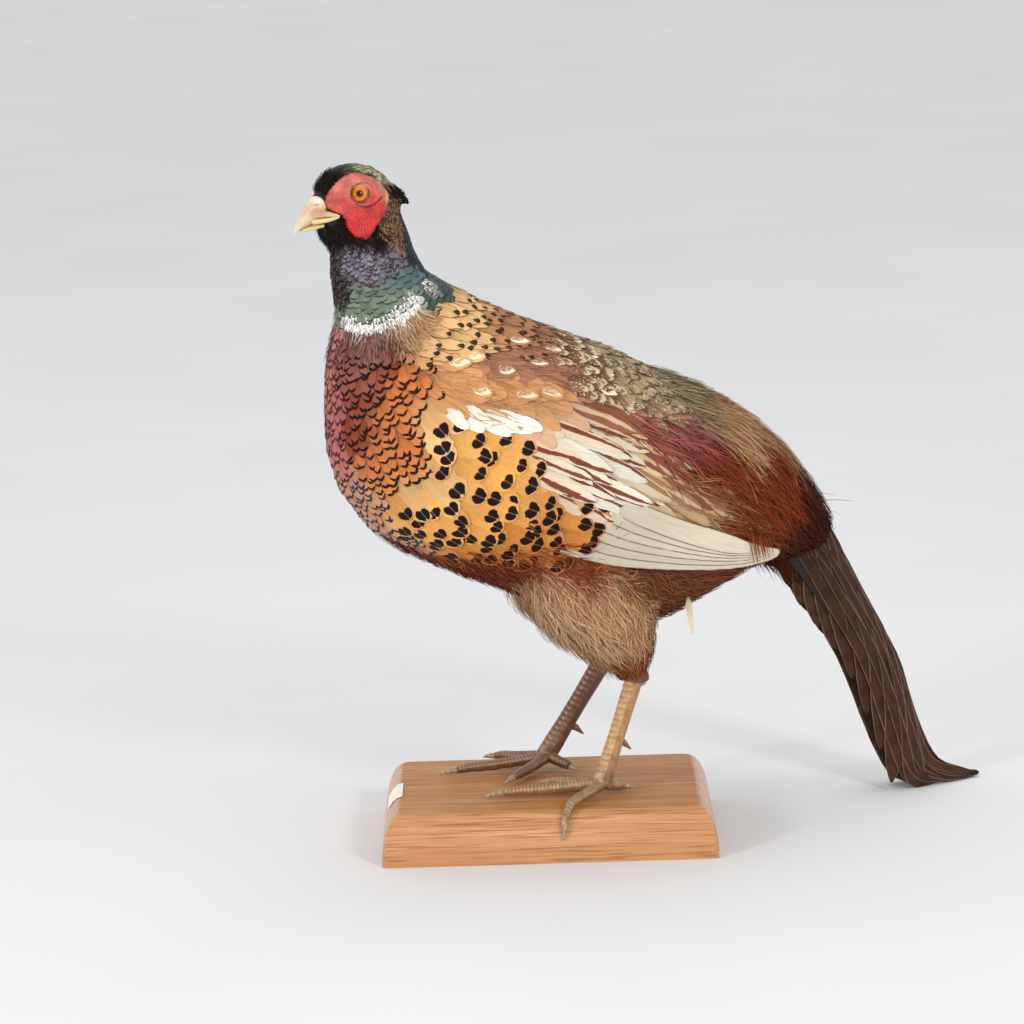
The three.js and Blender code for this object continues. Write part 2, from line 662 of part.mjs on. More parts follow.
// ---- tail ----
// Roof-shaped section: both slopes from the ridge to the hems, one wall thick.
function tailRing(s, grow) {
  const ring = [];
  const steps = 4;
  const roof = (inset, t) => {
    const depth = Math.abs(t);
    const bow = Math.sin((Math.PI / 2) * Math.min(1, depth * 1.15)) ** (1 - s.bulge);
    const reach = depth ** 1.15;
    const x = mix(s.ux, s.lx, reach);
    const z = mix(s.uz, s.lz, reach);
    const length = Math.hypot(s.lx - s.ux, s.lz - s.uz);
    const wall = inset * Math.min(1, s.half / 9);
    const nx = ((s.lx - s.ux) / length) * wall;
    const nz = ((s.lz - s.uz) / length) * wall;
    const wide = Math.sign(t) * Math.max(0, s.half * bow - wall * 0.75 * (1 - depth * 0.35));
    return point(x + nx * (1 - depth), wide, z + nz * (1 - depth));
  };
  for (let k = -steps; k <= steps; k++) ring.push(roof(-grow, k / steps));
  for (let k = steps; k >= -steps; k--) ring.push(roof(TAIL_WALL + grow, k / steps));
  return ring;
}

const tail = (grow) => skin(TAIL.map((s) => tailRing(s, grow)));

// ---- assembly ----
// A piece without its neighbours' room; crumbs that the cuts leave loose are dropped.
function less(body, ...others) {
  const bodies = others.reduce((rest, other) => rest.subtract(other), body).decompose();
  return bodies.reduce((a, b) => (a.volume() > b.volume() ? a : b));
}
// The room a piece needs in its neighbour: the piece itself and the clearance round it.
const room = (make) => make(GAP);

const bird = new THREE.Group();
bird.name = "pheasant";
bird.position.set(BIRD_X, BIRD_Y, 0);
bird.rotation.z = rad(BIRD_TURN);

const feet = [["left", LEFT_FOOT, true], ["right", RIGHT_FOOT, false]];
const upperBill = (grow) => billLoft(UPPER_BILL, grow);
const lowerBill = (grow) => billLoft(LOWER_BILL, grow);
const bills = [room(upperBill), room(lowerBill)];
const skull = loft(drawBack(headRows, false, GAP), 16);
const cutFromHead = [...bills];
const cutFromTrunk = [room(tail), room((grow) => loft(neckRows, 16, grow))];
for (const [name, foot, left] of feet) {
  const eye = (grow) => eyeBall(left, grow);
  const skinPatch = (grow) => wattle(left, grow);
  const tuft = (grow) => earTuft(left, grow);
  const wing = (grow) => wingSlab(left, grow);
  const flight = (grow) => flightSlab(left, grow);
  const leg = (grow) => shank(foot, grow);
  const hip = (grow) => thigh(foot, left, grow);
  cutFromHead.push(room(skinPatch), room(tuft), room(eye));
  cutFromTrunk.push(room(wing), wing(0), room(hip));
  bird.add(meshOf(`eye_${name}`, eye(0), GLASS));
  bird.add(meshOf(`wattle_${name}`, less(skinPatch(0), room(eye), ...bills), WATTLE));
  bird.add(meshOf(`ear_tuft_${name}`, less(tuft(0), room(skinPatch)), HEAD_DARK));
  bird.add(meshOf(`wing_${name}`, less(wing(0), room(flight)), WING_TAN));
  bird.add(meshOf(`flight_feathers_${name}`, flight(0), FLIGHT_CREAM));
  bird.add(meshOf(`thigh_${name}`, less(hip(0), room(leg), room(wing), room(flight)), THIGH_BUFF));
  bird.add(meshOf(`shank_${name}`, leg(0), SCALES));
  bird.add(meshOf(`spur_${name}`, less(spur(foot, 0), room(leg)), DARK_HORN));
  const done = [room(leg)];
  for (const toeName of Object.keys(foot.toes)) {
    const digit = (grow) => toe(foot, toeName, grow);
    bird.add(meshOf(`toe_${toeName}_${name}`, less(digit(0), ...done), SCALES));
    bird.add(meshOf(`claw_${toeName}_${name}`, less(claw(foot, toeName, 0), room(digit)), DARK_HORN));
    done.push(room(digit));
  }
}
bird.add(meshOf("head", less(skull, ...cutFromHead), HEAD_DARK));
bird.add(meshOf("bill_upper", upperBill(0), HORN));
bird.add(meshOf("bill_lower", less(lowerBill(0), room(upperBill)), HORN));
bird.add(meshOf("neck", less(loft(neckRows, 16), ...cutFromHead), NECK_GREEN));
bird.add(meshOf("trunk", less(loft(bodyRows, 22), ...cutFromTrunk), CHESTNUT));
bird.add(meshOf("tail", tail(0), TAIL_BROWN));

const group = new THREE.Group();
group.name = "taxidermy_pheasant";
group.add(bird);
group.add(meshOf("base_board", baseBoard(), WOOD));
group.add(meshOf("blank_label", label(), PAPER));

export default group;
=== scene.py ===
import math

import bpy
import numpy as np
from mathutils import Matrix, Vector
from mathutils.bvhtree import BVHTree
from mathutils.kdtree import KDTree


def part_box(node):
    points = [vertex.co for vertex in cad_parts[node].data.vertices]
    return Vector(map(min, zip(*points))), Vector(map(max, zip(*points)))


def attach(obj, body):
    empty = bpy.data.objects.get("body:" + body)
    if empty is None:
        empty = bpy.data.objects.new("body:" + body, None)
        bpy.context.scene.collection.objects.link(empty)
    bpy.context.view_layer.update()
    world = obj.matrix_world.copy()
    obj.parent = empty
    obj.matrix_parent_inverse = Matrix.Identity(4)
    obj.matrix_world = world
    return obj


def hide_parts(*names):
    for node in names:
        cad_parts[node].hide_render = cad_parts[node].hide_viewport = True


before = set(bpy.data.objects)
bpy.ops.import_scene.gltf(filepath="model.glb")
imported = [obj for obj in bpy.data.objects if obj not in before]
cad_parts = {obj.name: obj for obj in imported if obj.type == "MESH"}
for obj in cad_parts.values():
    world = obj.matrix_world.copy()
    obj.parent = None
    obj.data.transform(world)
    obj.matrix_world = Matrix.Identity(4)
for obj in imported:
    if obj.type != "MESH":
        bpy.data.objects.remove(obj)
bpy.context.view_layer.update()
mm = 0.001
rng = np.random.default_rng(11)

# The bird stands turned on its base and holds its head turned further to its left.
# Places on the bird are in millimetres, in its own frame: x towards the tail, y to its right, z up.
bird = dict(x=17, y=5, turn=21, headTurn=6, headPivot=-122)


def turnedBy(points, degrees):
    a = math.radians(degrees)
    x, y, z = np.moveaxis(np.asarray(points, float), -1, 0)
    return np.stack([x * math.cos(a) - y * math.sin(a), x * math.sin(a) + y * math.cos(a), z], -1)


def headToBird(points):
    return turnedBy(points, bird["headTurn"]) + (bird["headPivot"], 0, 0)


def birdToHead(points):
    return turnedBy(np.asarray(points, float) - (bird["headPivot"], 0, 0), -bird["headTurn"])


def toWorld(points):
    return (turnedBy(points, bird["turn"]) + (bird["x"], bird["y"], 0)) * mm


def toBird(points):
    return turnedBy(np.asarray(points, float) / mm - (bird["x"], bird["y"], 0), -bird["turn"])


def directionToWorld(vectors):
    return turnedBy(vectors, bird["turn"])


def unit(vectors):
    return vectors / np.maximum(np.linalg.norm(vectors, axis=-1, keepdims=True), 1e-12)


def linear(code):  # an sRGB hex code as linear red, green, blue and alpha
    parts = [int(code[i:i + 2], 16) / 255 for i in (1, 3, 5)]
    return [c / 12.92 if c <= 0.04045 else ((c + 0.055) / 1.055) ** 2.4 for c in parts] + [1]


# ---- camera, floor and light

view = dict(target=(-0.016957, 0, 0.198311), distance=2.64266, elevation=10.851, roll=1.703, lens=154.69)


def addCamera():
    up = math.radians(view["elevation"])
    roll = math.radians(view["roll"])
    back = Vector((0, -math.cos(up), math.sin(up)))
    level = Vector((1, 0, 0))
    rise = Vector((0, math.sin(up), math.cos(up)))
    across = level * math.cos(roll) - rise * math.sin(roll)
    high = level * math.sin(roll) + rise * math.cos(roll)
    data = bpy.data.cameras.new("camera")
    data.lens = view["lens"]
    data.sensor_width = 36
    data.clip_end = 60
    camera = bpy.data.objects.new("camera", data)
    bpy.context.scene.collection.objects.link(camera)
    turn = Matrix((across, high, back)).transposed().to_4x4()
    place = Vector(view["target"]) + back * view["distance"]
    camera.matrix_world = Matrix.Translation(place) @ turn
    bpy.context.scene.camera = camera


def add(tree, kind, settings=None, out=0, **feeds):
    # adds a node; a feed is named for its socket, or i0, i1... for the socket's number
    made = tree.nodes.new("ShaderNode" + kind)
    for key, value in (settings or {}).items():
        if key == "stops":
            ramp = made.color_ramp.elements
            while len(ramp) < len(value):
                ramp.new(0.5)
            for stop, (place, code) in zip(ramp, value):
                stop.position = place
                stop.color = linear(code)
        else:
            setattr(made, key, value)
    for key, value in feeds.items():
        socket = made.inputs[int(key[1:]) if key[1:].isdigit() else key.replace("_", " ")]
        if isinstance(value, bpy.types.NodeSocket):
            tree.links.new(value, socket)
        else:
            socket.default_value = value
    return made.outputs[out]


def newMaterial(name, **constants):
    # a material with its Principled shader; constants are set on the shader's own sockets
    material = bpy.data.materials.new(name)
    material.use_nodes = True
    shader = material.node_tree.nodes["Principled BSDF"]
    for key, value in constants.items():
        shader.inputs[key.replace("_", " ")].default_value = value
    return material, material.node_tree, shader


def finish(piece, material, replaces=()):
    piece.data.materials.clear()
    piece.data.materials.append(material)
    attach(piece, "root")
    if replaces:
        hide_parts(*replaces)
    return piece


studio = dict(world="#eef0f1", worldStrength=0.97, floor="#e0e0e1")


def softLight(name, place, aim, size, watts, colour):
    data = bpy.data.lights.new(name, "AREA")
    data.shape = "DISK"
    data.size = size
    data.energy = watts
    data.color = linear(colour)[:3]
    light = bpy.data.objects.new(name, data)
    light.location = place
    light.rotation_euler = (Vector(aim) - Vector(place)).to_track_quat("-Z", "Y").to_euler()
    bpy.context.scene.collection.objects.link(light)


def addStudio():
    scene = bpy.context.scene
    scene.view_settings.view_transform = "Standard"
    world = bpy.data.worlds.new("studio")
    scene.world = world
    world.use_nodes = True
    background = world.node_tree.nodes["Background"]
    background.inputs["Color"].default_value = linear(studio["world"])
    background.inputs["Strength"].default_value = studio["worldStrength"]
    bpy.ops.mesh.primitive_plane_add(size=60, location=(0, 0, 0))
    floor = bpy.context.object
    floor.name = "studio_floor"
    material, tree, shader = newMaterial("pale_paper_floor", Roughness=0.8)
    spots = add(tree, "TexCoord", out="Object")
    cloud = add(tree, "TexNoise", Vector=spots, Scale=3.0, Detail=2.0)
    tint = add(tree, "ValToRGB", {"stops": [(0.3, "#e4e4e5"), (0.7, studio["floor"])]}, Fac=cloud)
    tree.links.new(tint, shader.inputs["Base Color"])
    floor.data.materials.append(material)
    middle = (0, 0, 0.2)
    softLight("front_right", (1.3, -2.3, 1.4), middle, 0.45, 25, "#fff9f2")
    softLight("front_left", (-1.9, -2.0, 1.0), middle, 0.45, 27, "#fffaf5")
    softLight("top", (-0.2, 0.5, 2.3), middle, 1.2, 5, "#ffffff")


addCamera()
addStudio()
print("camera and studio made")


# ---- working on meshes

def coordinates(piece):
    co = np.empty(len(piece.data.vertices) * 3)
    piece.data.vertices.foreach_get("co", co)
    return co.reshape(-1, 3)


def vertexFacing(piece):
    facing = np.empty(len(piece.data.vertices) * 3)
    piece.data.vertex_normals.foreach_get("vector", facing)
    return facing.reshape(-1, 3)


def moveVertices(piece, co):
    piece.data.vertices.foreach_set("co", np.asarray(co, float).ravel())
    piece.data.update()


def putAttribute(mesh, name, kind, values):
    layer = mesh.attributes.new(name, kind, "POINT")
    field = {"FLOAT_COLOR": "color", "FLOAT_VECTOR": "vector", "FLOAT": "value"}[kind]
    layer.data.foreach_set(field, np.asarray(values, float).ravel())


def applyModifier(piece, kind, **settings):
    bpy.context.view_layer.objects.active = piece
    modifier = piece.modifiers.new("work", kind)
    for key, value in settings.items():
        setattr(modifier, key, value)
    bpy.ops.object.modifier_apply(modifier=modifier.name)


def thinned(places, gap):
    # keeps the places that stand at least a gap apart
    kept, cells = [], {}
    for i, (x, y, z) in enumerate((places / (gap * mm)).tolist()):
        cx, cy, cz = math.floor(x), math.floor(y), math.floor(z)
        near = [cells.get((cx + dx, cy + dy, cz + dz), ()) for dx in (-1, 0, 1) for dy in (-1, 0, 1) for dz in (-1, 0, 1)]
        if all((x - px) ** 2 + (y - py) ** 2 + (z - pz) ** 2 >= 1 for cell in near for px, py, pz in cell):
            cells.setdefault((cx, cy, cz), []).append((x, y, z))
            kept.append(i)
    return np.array(kept, int)


def shellOf(name, nodes, voxel, rounds, extra=()):
    # one closed surface round copies of the named solids, smoothed
    bpy.ops.object.select_all(action="DESELECT")
    for piece in extra:
        piece.select_set(True)
    for node in nodes:
        copy = bpy.data.objects.new(name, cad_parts[node].data.copy())
        bpy.context.scene.collection.objects.link(copy)
        copy.select_set(True)
        bpy.context.view_layer.objects.active = copy
    if len(nodes) + len(extra) > 1:
        bpy.ops.object.join()
    piece = bpy.context.view_layer.objects.active
    piece.name = name
    piece.data.materials.clear()
    bpy.ops.object.mode_set(mode="EDIT")
    bpy.ops.mesh.select_all(action="SELECT")
    bpy.ops.mesh.remove_doubles(threshold=1e-5)
    bpy.ops.object.mode_set(mode="OBJECT")
    applyModifier(piece, "REMESH", mode="VOXEL", voxel_size=voxel * mm)
    applyModifier(piece, "SMOOTH", factor=0.5, iterations=rounds)
    bpy.ops.object.shade_smooth()
    return piece


# ---- the wooden base

board = dict(side=3, roundIn=12, frontCorner=3, backCorner=16, steps=10, cornerSteps=10)


def makeBase():
    # rounded outlines, one over another, drawing in along a quarter of an ellipse
    low, high = (np.array(c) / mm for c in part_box("base_board"))
    middle, reach = (low + high) / 2, (high - low) / 2
    levels = [(0, low[2])]
    for step in range(board["steps"] + 1):
        turn = math.pi / 2 * step / board["steps"]
        upright = high[2] - low[2] - board["side"]
        levels.append((board["roundIn"] * (1 - math.cos(turn)), low[2] + board["side"] + upright * math.sin(turn)))
    rings = []
    for drawnIn, z in levels:
        for quarter, (sx, sy) in enumerate(((1, 1), (-1, 1), (-1, -1), (1, -1))):
            corner = max(1, board["backCorner" if sy > 0 else "frontCorner"] - drawnIn)
            for k in range(board["cornerSteps"] + 1):
                turn = math.pi / 2 * (quarter + k / board["cornerSteps"])
                x = middle[0] + sx * (reach[0] - drawnIn - corner) + corner * math.cos(turn)
                y = middle[1] + sy * (reach[1] - drawnIn - corner) + corner * math.sin(turn)
                rings.append((x * mm, y * mm, z * mm))
    size = 4 * (board["cornerSteps"] + 1)
    faces = [list(range(size))[::-1], [len(rings) - size + i for i in range(size)]]
    for level in range(len(levels) - 1):
        for i in range(size):
            j = (i + 1) % size
            faces.append([level * size + i, level * size + j, (level + 1) * size + j, (level + 1) * size + i])
    mesh = bpy.data.meshes.new("wooden_base")
    mesh.from_pydata(rings, [], faces)
    base = bpy.data.objects.new("wooden_base", mesh)
    bpy.context.scene.collection.objects.link(base)
    bpy.ops.object.select_all(action="DESELECT")
    base.select_set(True)
    bpy.context.view_layer.objects.active = base
    bpy.ops.object.shade_smooth_by_angle(angle=math.radians(35))
    return base


def varnishedWood():
    # flat-sawn softwood board, sanded and varnished: honey orange, long open grain, a satin coat
    material, tree, shader = newMaterial("varnished_pine", Roughness=0.5, Specular_IOR_Level=0.2, Coat_Roughness=0.2)
    spot = add(tree, "TexCoord", out="Object")
    long = add(tree, "Mapping", Vector=spot, Scale=(0.6, 13.0, 20.0), Rotation=(0, 0, 0.03))
    sway = add(tree, "TexNoise", Vector=spot, Scale=7.0, Detail=2.0)
    warped = add(tree, "MixRGB", {"blend_type": "LINEAR_LIGHT"}, Fac=0.06, Color1=long, Color2=sway)
    rings = add(tree, "TexNoise", Vector=warped, Scale=13.0, Detail=4.0, Roughness=0.62)
    tone = add(tree, "ValToRGB", {"stops": [
        (0.28, "#b27a4c"), (0.45, "#bf8756"), (0.58, "#c89262"), (0.75, "#d2a274")]}, Fac=rings)
    pores = add(tree, "Mapping", Vector=spot, Scale=(30.0, 900.0, 900.0))
    pore = add(tree, "TexNoise", Vector=pores, Scale=1.0, Detail=1.0)
    dark = add(tree, "ValToRGB", {"stops": [(0.30, "#8f6040"), (0.47, "#ffffff")]}, Fac=pore)
    grain = add(tree, "MixRGB", {"blend_type": "MULTIPLY"}, Fac=0.5, Color1=tone, Color2=dark)
    facing = add(tree, "NewGeometry", out="Normal")
    up = add(tree, "SeparateXYZ", out="Z", Vector=facing)
    flat = add(tree, "MapRange", Value=up, From_Min=0.93, From_Max=0.99)
    withPaintedLight = add(tree, "MixRGB", {"blend_type": "MIX"}, Fac=flat, Color1=grain, Color2=grain)
    shadedTop = add(tree, "HueSaturation", Saturation=1.07, Value=0.93, Color=grain)
    tree.links.new(shadedTop, withPaintedLight.node.inputs["Color2"])  # the top is painted a little darker and more saturated, as painted shade
    tree.links.new(withPaintedLight, shader.inputs["Base Color"])
    polish = add(tree, "MapRange", Value=up, From_Min=0.9, From_Max=0.99, To_Min=0.7, To_Max=0.0)
    tree.links.new(polish, shader.inputs["Coat Weight"])
    bump = add(tree, "Bump", Strength=0.22, Distance=0.0004, Height=pore)
    tree.links.new(bump, shader.inputs["Normal"])
    return material


finish(makeBase(), varnishedWood(), ["base_board"])


def paperMaterial():
    # a small blank paper sticker, matt, slightly yellowed by age
    material, tree, shader = newMaterial("blank_paper", Roughness=0.75)
    spot = add(tree, "TexCoord", out="Object")
    cloud = add(tree, "TexNoise", Vector=spot, Scale=260.0, Detail=3.0)
    tone = add(tree, "ValToRGB", {"stops": [(0.3, "#e2ddd0"), (0.7, "#f5f3ec")]}, Fac=cloud)
    tree.links.new(tone, shader.inputs["Base Color"])
    bump = add(tree, "Bump", Strength=0.15, Distance=0.0002, Height=cloud)
    tree.links.new(bump, shader.inputs["Normal"])
    return material


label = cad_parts["blank_label"]
label.data.materials.clear()
label.data.materials.append(paperMaterial())
print("base made")


# ---- the skin under the plumage

sides = ("left", "right")
fleshNodes = ["head", "neck", "trunk"] + [f"{part}_{s}" for part in ("ear_tuft", "wing", "thigh") for s in sides]
skinShape = dict(voxel=2.0, rounds=4, headDepth=0.8, bodyDepth=3.2, headFoot=318, headTop=345, tuck=4.5, tuckAt=82,
                 tuckWide=34, tuckTop=168)

skin = shellOf("skin", fleshNodes, skinShape["voxel"], skinShape["rounds"])
skinAt = coordinates(skin)
alongSkin, _, highOnSkin = toBird(skinAt).T
onHead = np.clip((highOnSkin - skinShape["headFoot"]) / (skinShape["headTop"] - skinShape["headFoot"]), 0, 1)
depth = skinShape["bodyDepth"] + (skinShape["headDepth"] - skinShape["bodyDepth"]) * onHead
# under the vent the coat is deepest, so the skin is drawn in further
vent = np.exp(-((alongSkin - skinShape["tuckAt"]) / skinShape["tuckWide"]) ** 2)
depth = depth + skinShape["tuck"] * vent * np.clip((skinShape["tuckTop"] - highOnSkin) / 12, 0, 1)
moveVertices(skin, skinAt - vertexFacing(skin) * depth[:, None] * mm)
applyModifier(skin, "SMOOTH", factor=0.5, iterations=3)
print("skin", len(skin.data.polygons), "faces")

skinAt = coordinates(skin)
skinLie = vertexFacing(skin)
skinFaces = [tuple(p.vertices) for p in skin.data.polygons]
skinTree = BVHTree.FromPolygons(skinAt.tolist(), skinFaces)
faceFacing = unit(np.array([skinLie[list(f)].sum(0) for f in skinFaces]))
bareTrees = []


def treeOf(mesh):
    return BVHTree.FromPolygons([v.co for v in mesh.vertices], [tuple(p.vertices) for p in mesh.polygons])


def keepBare(piece):
    # no feather grows out of this piece
    bareTrees.append(treeOf(piece.data))
    return piece


def ontoSkin(points):
    places = np.empty((len(points), 3))
    facing = np.empty((len(points), 3))
    for i, point in enumerate(points.tolist()):
        hit, _, face, _ = skinTree.find_nearest(point)
        places[i] = hit
        facing[i] = faceFacing[face]
    return places, facing


# How the feathers lie, seen from the side: at (x, z) they point along (dx, dz).
lie = {
    "forehead": [(-152, 406, 1, 0.9), (-144, 414, 1, 0.35)],
    "crown": [(-134, 415, 1, -0.05), (-120, 411, 1, -0.4), (-106, 400, 1, -0.85), (-98, 392, 1, -0.9)],
    "face": [(-130, 390, 0.5, -1), (-112, 385, 0.5, -1), (-152, 376, 0.5, -1), (-142, 370, 0.35, -1)],
    "nape": [(-97, 380, 0.2, -1), (-92, 360, 0.4, -1), (-86, 346, 0.8, -0.9)],
    "neck": [(-144, 350, -0.02, -1), (-120, 350, 0.15, -1), (-145, 330, -0.1, -1), (-118, 325, 0.3, -1)],
    "mantle": [(-85, 330, 0.9, -0.5), (-50, 325, 1, -0.42), (-30, 308, 1, -0.42)],
    "breast": [(-149, 305, -0.08, -1), (-155, 268, 0.02, -1), (-148, 240, 0.3, -1), (-132, 210, 0.7, -0.8)],
    "breastSide": [(-128, 290, 0.4, -1), (-122, 262, 0.6, -0.8), (-112, 230, 0.75, -0.65)],
    "flank": [(-98, 265, 0.75, -0.65), (-80, 240, 0.85, -0.55), (-40, 212, 0.92, -0.42), (0, 192, 0.96, -0.3)],
    "scapular": [(-90, 300, 0.9, -0.4), (-60, 292, 1, -0.32), (-30, 290, 1, -0.42)],
    "wing": [(-70, 270, 1, -0.36), (-35, 252, 1, -0.6), (2, 222, 1, -0.56), (20, 252, 1, -0.62), (58, 208, 1, -0.5)],
    "back": [(10, 300, 1, -0.48), (45, 283, 1, -0.6), (75, 262, 1, -0.8), (60, 240, 1, -0.75)],
    "rump": [(110, 240, 0.9, -0.9), (140, 215, 0.75, -1), (165, 190, 0.5, -1), (100, 205, 0.85, -0.7), (135, 180, 0.7, -0.7)],
    "belly": [(-100, 185, 0.9, -0.35), (-50, 162, 1, -0.3), (50, 150, 1, -0.35), (100, 152, 1, 0.1), (60, 128, 1, 0.1)],
    "thigh": [(-35, 152, 0.45, -1), (-5, 140, 0.5, -1), (20, 125, 0.35, -1), (30, 102, 0.15, -1)],
}
liePoints = np.array([row for rows in lie.values() for row in rows], float)


def feathersPoint(places):
    # the direction in which feathers lie at places on the bird, in the bird's frame
    at = places[:, None, [0, 2]] - liePoints[None, :, :2]
    pull = 1 / (np.sum(at * at, -1) + 9) ** 2
    way = unit(pull @ unit(liePoints[:, 2:]))
    return np.stack([way[:, 0], np.zeros(len(way)), way[:, 1]], -1)


# ---- the bare red skin round the eyes

eyes = dict(x=-10, y=12.2, z=399.2, radius=5.9, opening=5.3, lookAhead=21, lookUp=7)
eyes["hole"] = (eyes["x"] - 1.6, eyes["z"] + 0.5)
wattle = dict(rings=36, spokes=140, proud=0.9, hem=-0.5, thick=2.2, papilla=1.15, rise=0.55)
# The bare skin's outline: how far it reaches from the eye, in millimetres, by the angle from the rear upwards.
wattleReach = [(0, 17.6), (6, 16.3), (30, 12.8), (68, 11.2), (102, 12.1), (133, 13.2), (150, 14.4), (164, 16.2), (182, 18.8),
               (196, 20.6), (206, 19.4), (214, 17.0), (226, 16.4), (238, 17.8), (247, 21.4), (256, 23.6), (264, 26.2),
               (277, 27.0), (291, 20.5), (313, 18.6), (330, 17.9), (352, 18.6)]
lowerCrease = [(-14.5, 394.0), (-11, 392.2), (-8, 391.7), (-5, 392.4), (-1.5, 394.0), (2.2, 396.6)]
upperCrease = [(-15.6, 402.6), (-13, 405.0), (-9.5, 406.1), (-6, 405.2), (-3, 402.6)]
headTrees = [treeOf(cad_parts[node].data) for node in ("head", "neck", "wattle_left", "wattle_right")]


def onCheek(points, side):
    # carries places of the head's own frame sideways onto its surface; side is -1 for the left
    placed = []
    inward = Vector(directionToWorld(turnedBy((0, -side, 0), bird["headTurn"])))
    for x, z in points:
        start = Vector(toWorld(headToBird((x, side * 45, z))))
        hits = [tree.ray_cast(start, inward, 0.045) for tree in headTrees]
        far = min([hit[3] / mm for hit in hits if hit[0] is not None], default=40)
        placed.append((x, side * (45 - far), z))
    return np.array(placed)


def nearLine(x, z, line):
    # distance from places (x, z) to a line of points
    best = np.full(x.shape, 1e9)
    for (ax, az), (bx, bz) in zip(line, line[1:]):
        t = np.clip(((x - ax) * (bx - ax) + (z - az) * (bz - az)) / ((bx - ax) ** 2 + (bz - az) ** 2), 0, 1)
        best = np.minimum(best, np.hypot(x - ax - t * (bx - ax), z - az - t * (bz - az)))
    return best


def makeWattle(name, side):
    angles = np.arange(wattle["spokes"]) / wattle["spokes"] * 360
    stops, reaches = zip(*wattleReach)
    outer = np.interp(angles, stops, reaches, period=360)
    outer = (np.roll(outer, 1) + outer * 2 + np.roll(outer, -1)) / 4
    outer = outer + rng.normal(0, 0.16, len(outer))
    share = np.linspace(0, 1, wattle["rings"])[:, None] ** 0.9
    c, s = np.cos(np.radians(angles)), np.sin(np.radians(angles))
    holeX, holeZ = eyes["hole"]
    opening = eyes["opening"] - 0.3
    x = (holeX + opening * c) * (1 - share) + (eyes["x"] + outer * c) * share
    z = (holeZ + opening * s) * (1 - share) + (eyes["z"] + outer * s) * share
    reach = np.hypot(x - holeX, z - holeZ)
    front = onCheek(np.stack([x.ravel(), z.ravel()], 1), side)
    y = np.abs(front[:, 1]).reshape(x.shape)
    for _ in range(5):
        inner = (y[:-2] + y[2:] + np.roll(y[1:-1], 1, 1) + np.roll(y[1:-1], -1, 1)) / 4
        y[1:-1] = inner
    edge = np.clip((1 - share) / 0.12, 0, 1)
    y = y + wattle["hem"] + (wattle["proud"] - wattle["hem"]) * edge * (2 - edge)
    rimmed = np.exp(-((reach - eyes["opening"] - 1.5) / 1.2) ** 2)
    y = y + 0.7 * rimmed - 0.9 * np.exp(-((reach - eyes["opening"]) / 0.7) ** 2)
    for line, deep in ((lowerCrease, 0.75), (upperCrease, 0.45)):
        away = nearLine(x, z, line)
        y = y - deep * np.exp(-(away / 0.55) ** 2) + deep * 0.5 * np.exp(-((away - 1.3) / 0.7) ** 2)
    back = np.stack([x, y - wattle["thick"], z], -1)
    front = np.stack([x, y, z], -1)
    shell = np.stack([front, back]) * (1, side, 1)
    rings, spokes = x.shape
    faces = []
    for layer, flip in ((0, False), (1, True)):
        for k in range(rings - 1):
            for i in range(spokes):
                j = (i + 1) % spokes
                start = layer * rings * spokes
                quad = [start + k * spokes + i, start + k * spokes + j, start + (k + 1) * spokes + j,
                        start + (k + 1) * spokes + i]
                faces.append(quad[::-1] if flip else quad)
    for k, flip in ((0, True), (rings - 1, False)):
        for i in range(spokes):
            j = (i + 1) % spokes
            quad = [k * spokes + i, k * spokes + j, (rings + k) * spokes + j, (rings + k) * spokes + i]
            faces.append(quad[::-1] if flip else quad)
    mesh = bpy.data.meshes.new(name)
    mesh.from_pydata(toWorld(headToBird(shell.reshape(-1, 3))), [], faces)
    piece = bpy.data.objects.new(name, mesh)
    bpy.context.scene.collection.objects.link(piece)
    bpy.ops.object.select_all(action="DESELECT")
    piece.select_set(True)
    bpy.context.view_layer.objects.active = piece
    bpy.ops.object.mode_set(mode="EDIT")
    bpy.ops.mesh.select_all(action="SELECT")
    bpy.ops.mesh.normals_make_consistent(inside=False)
    bpy.ops.object.mode_set(mode="OBJECT")
    applyModifier(piece, "SUBSURF", levels=1, render_levels=1)
    bpy.ops.object.shade_smooth()
    raisePapillae(piece)
    return piece


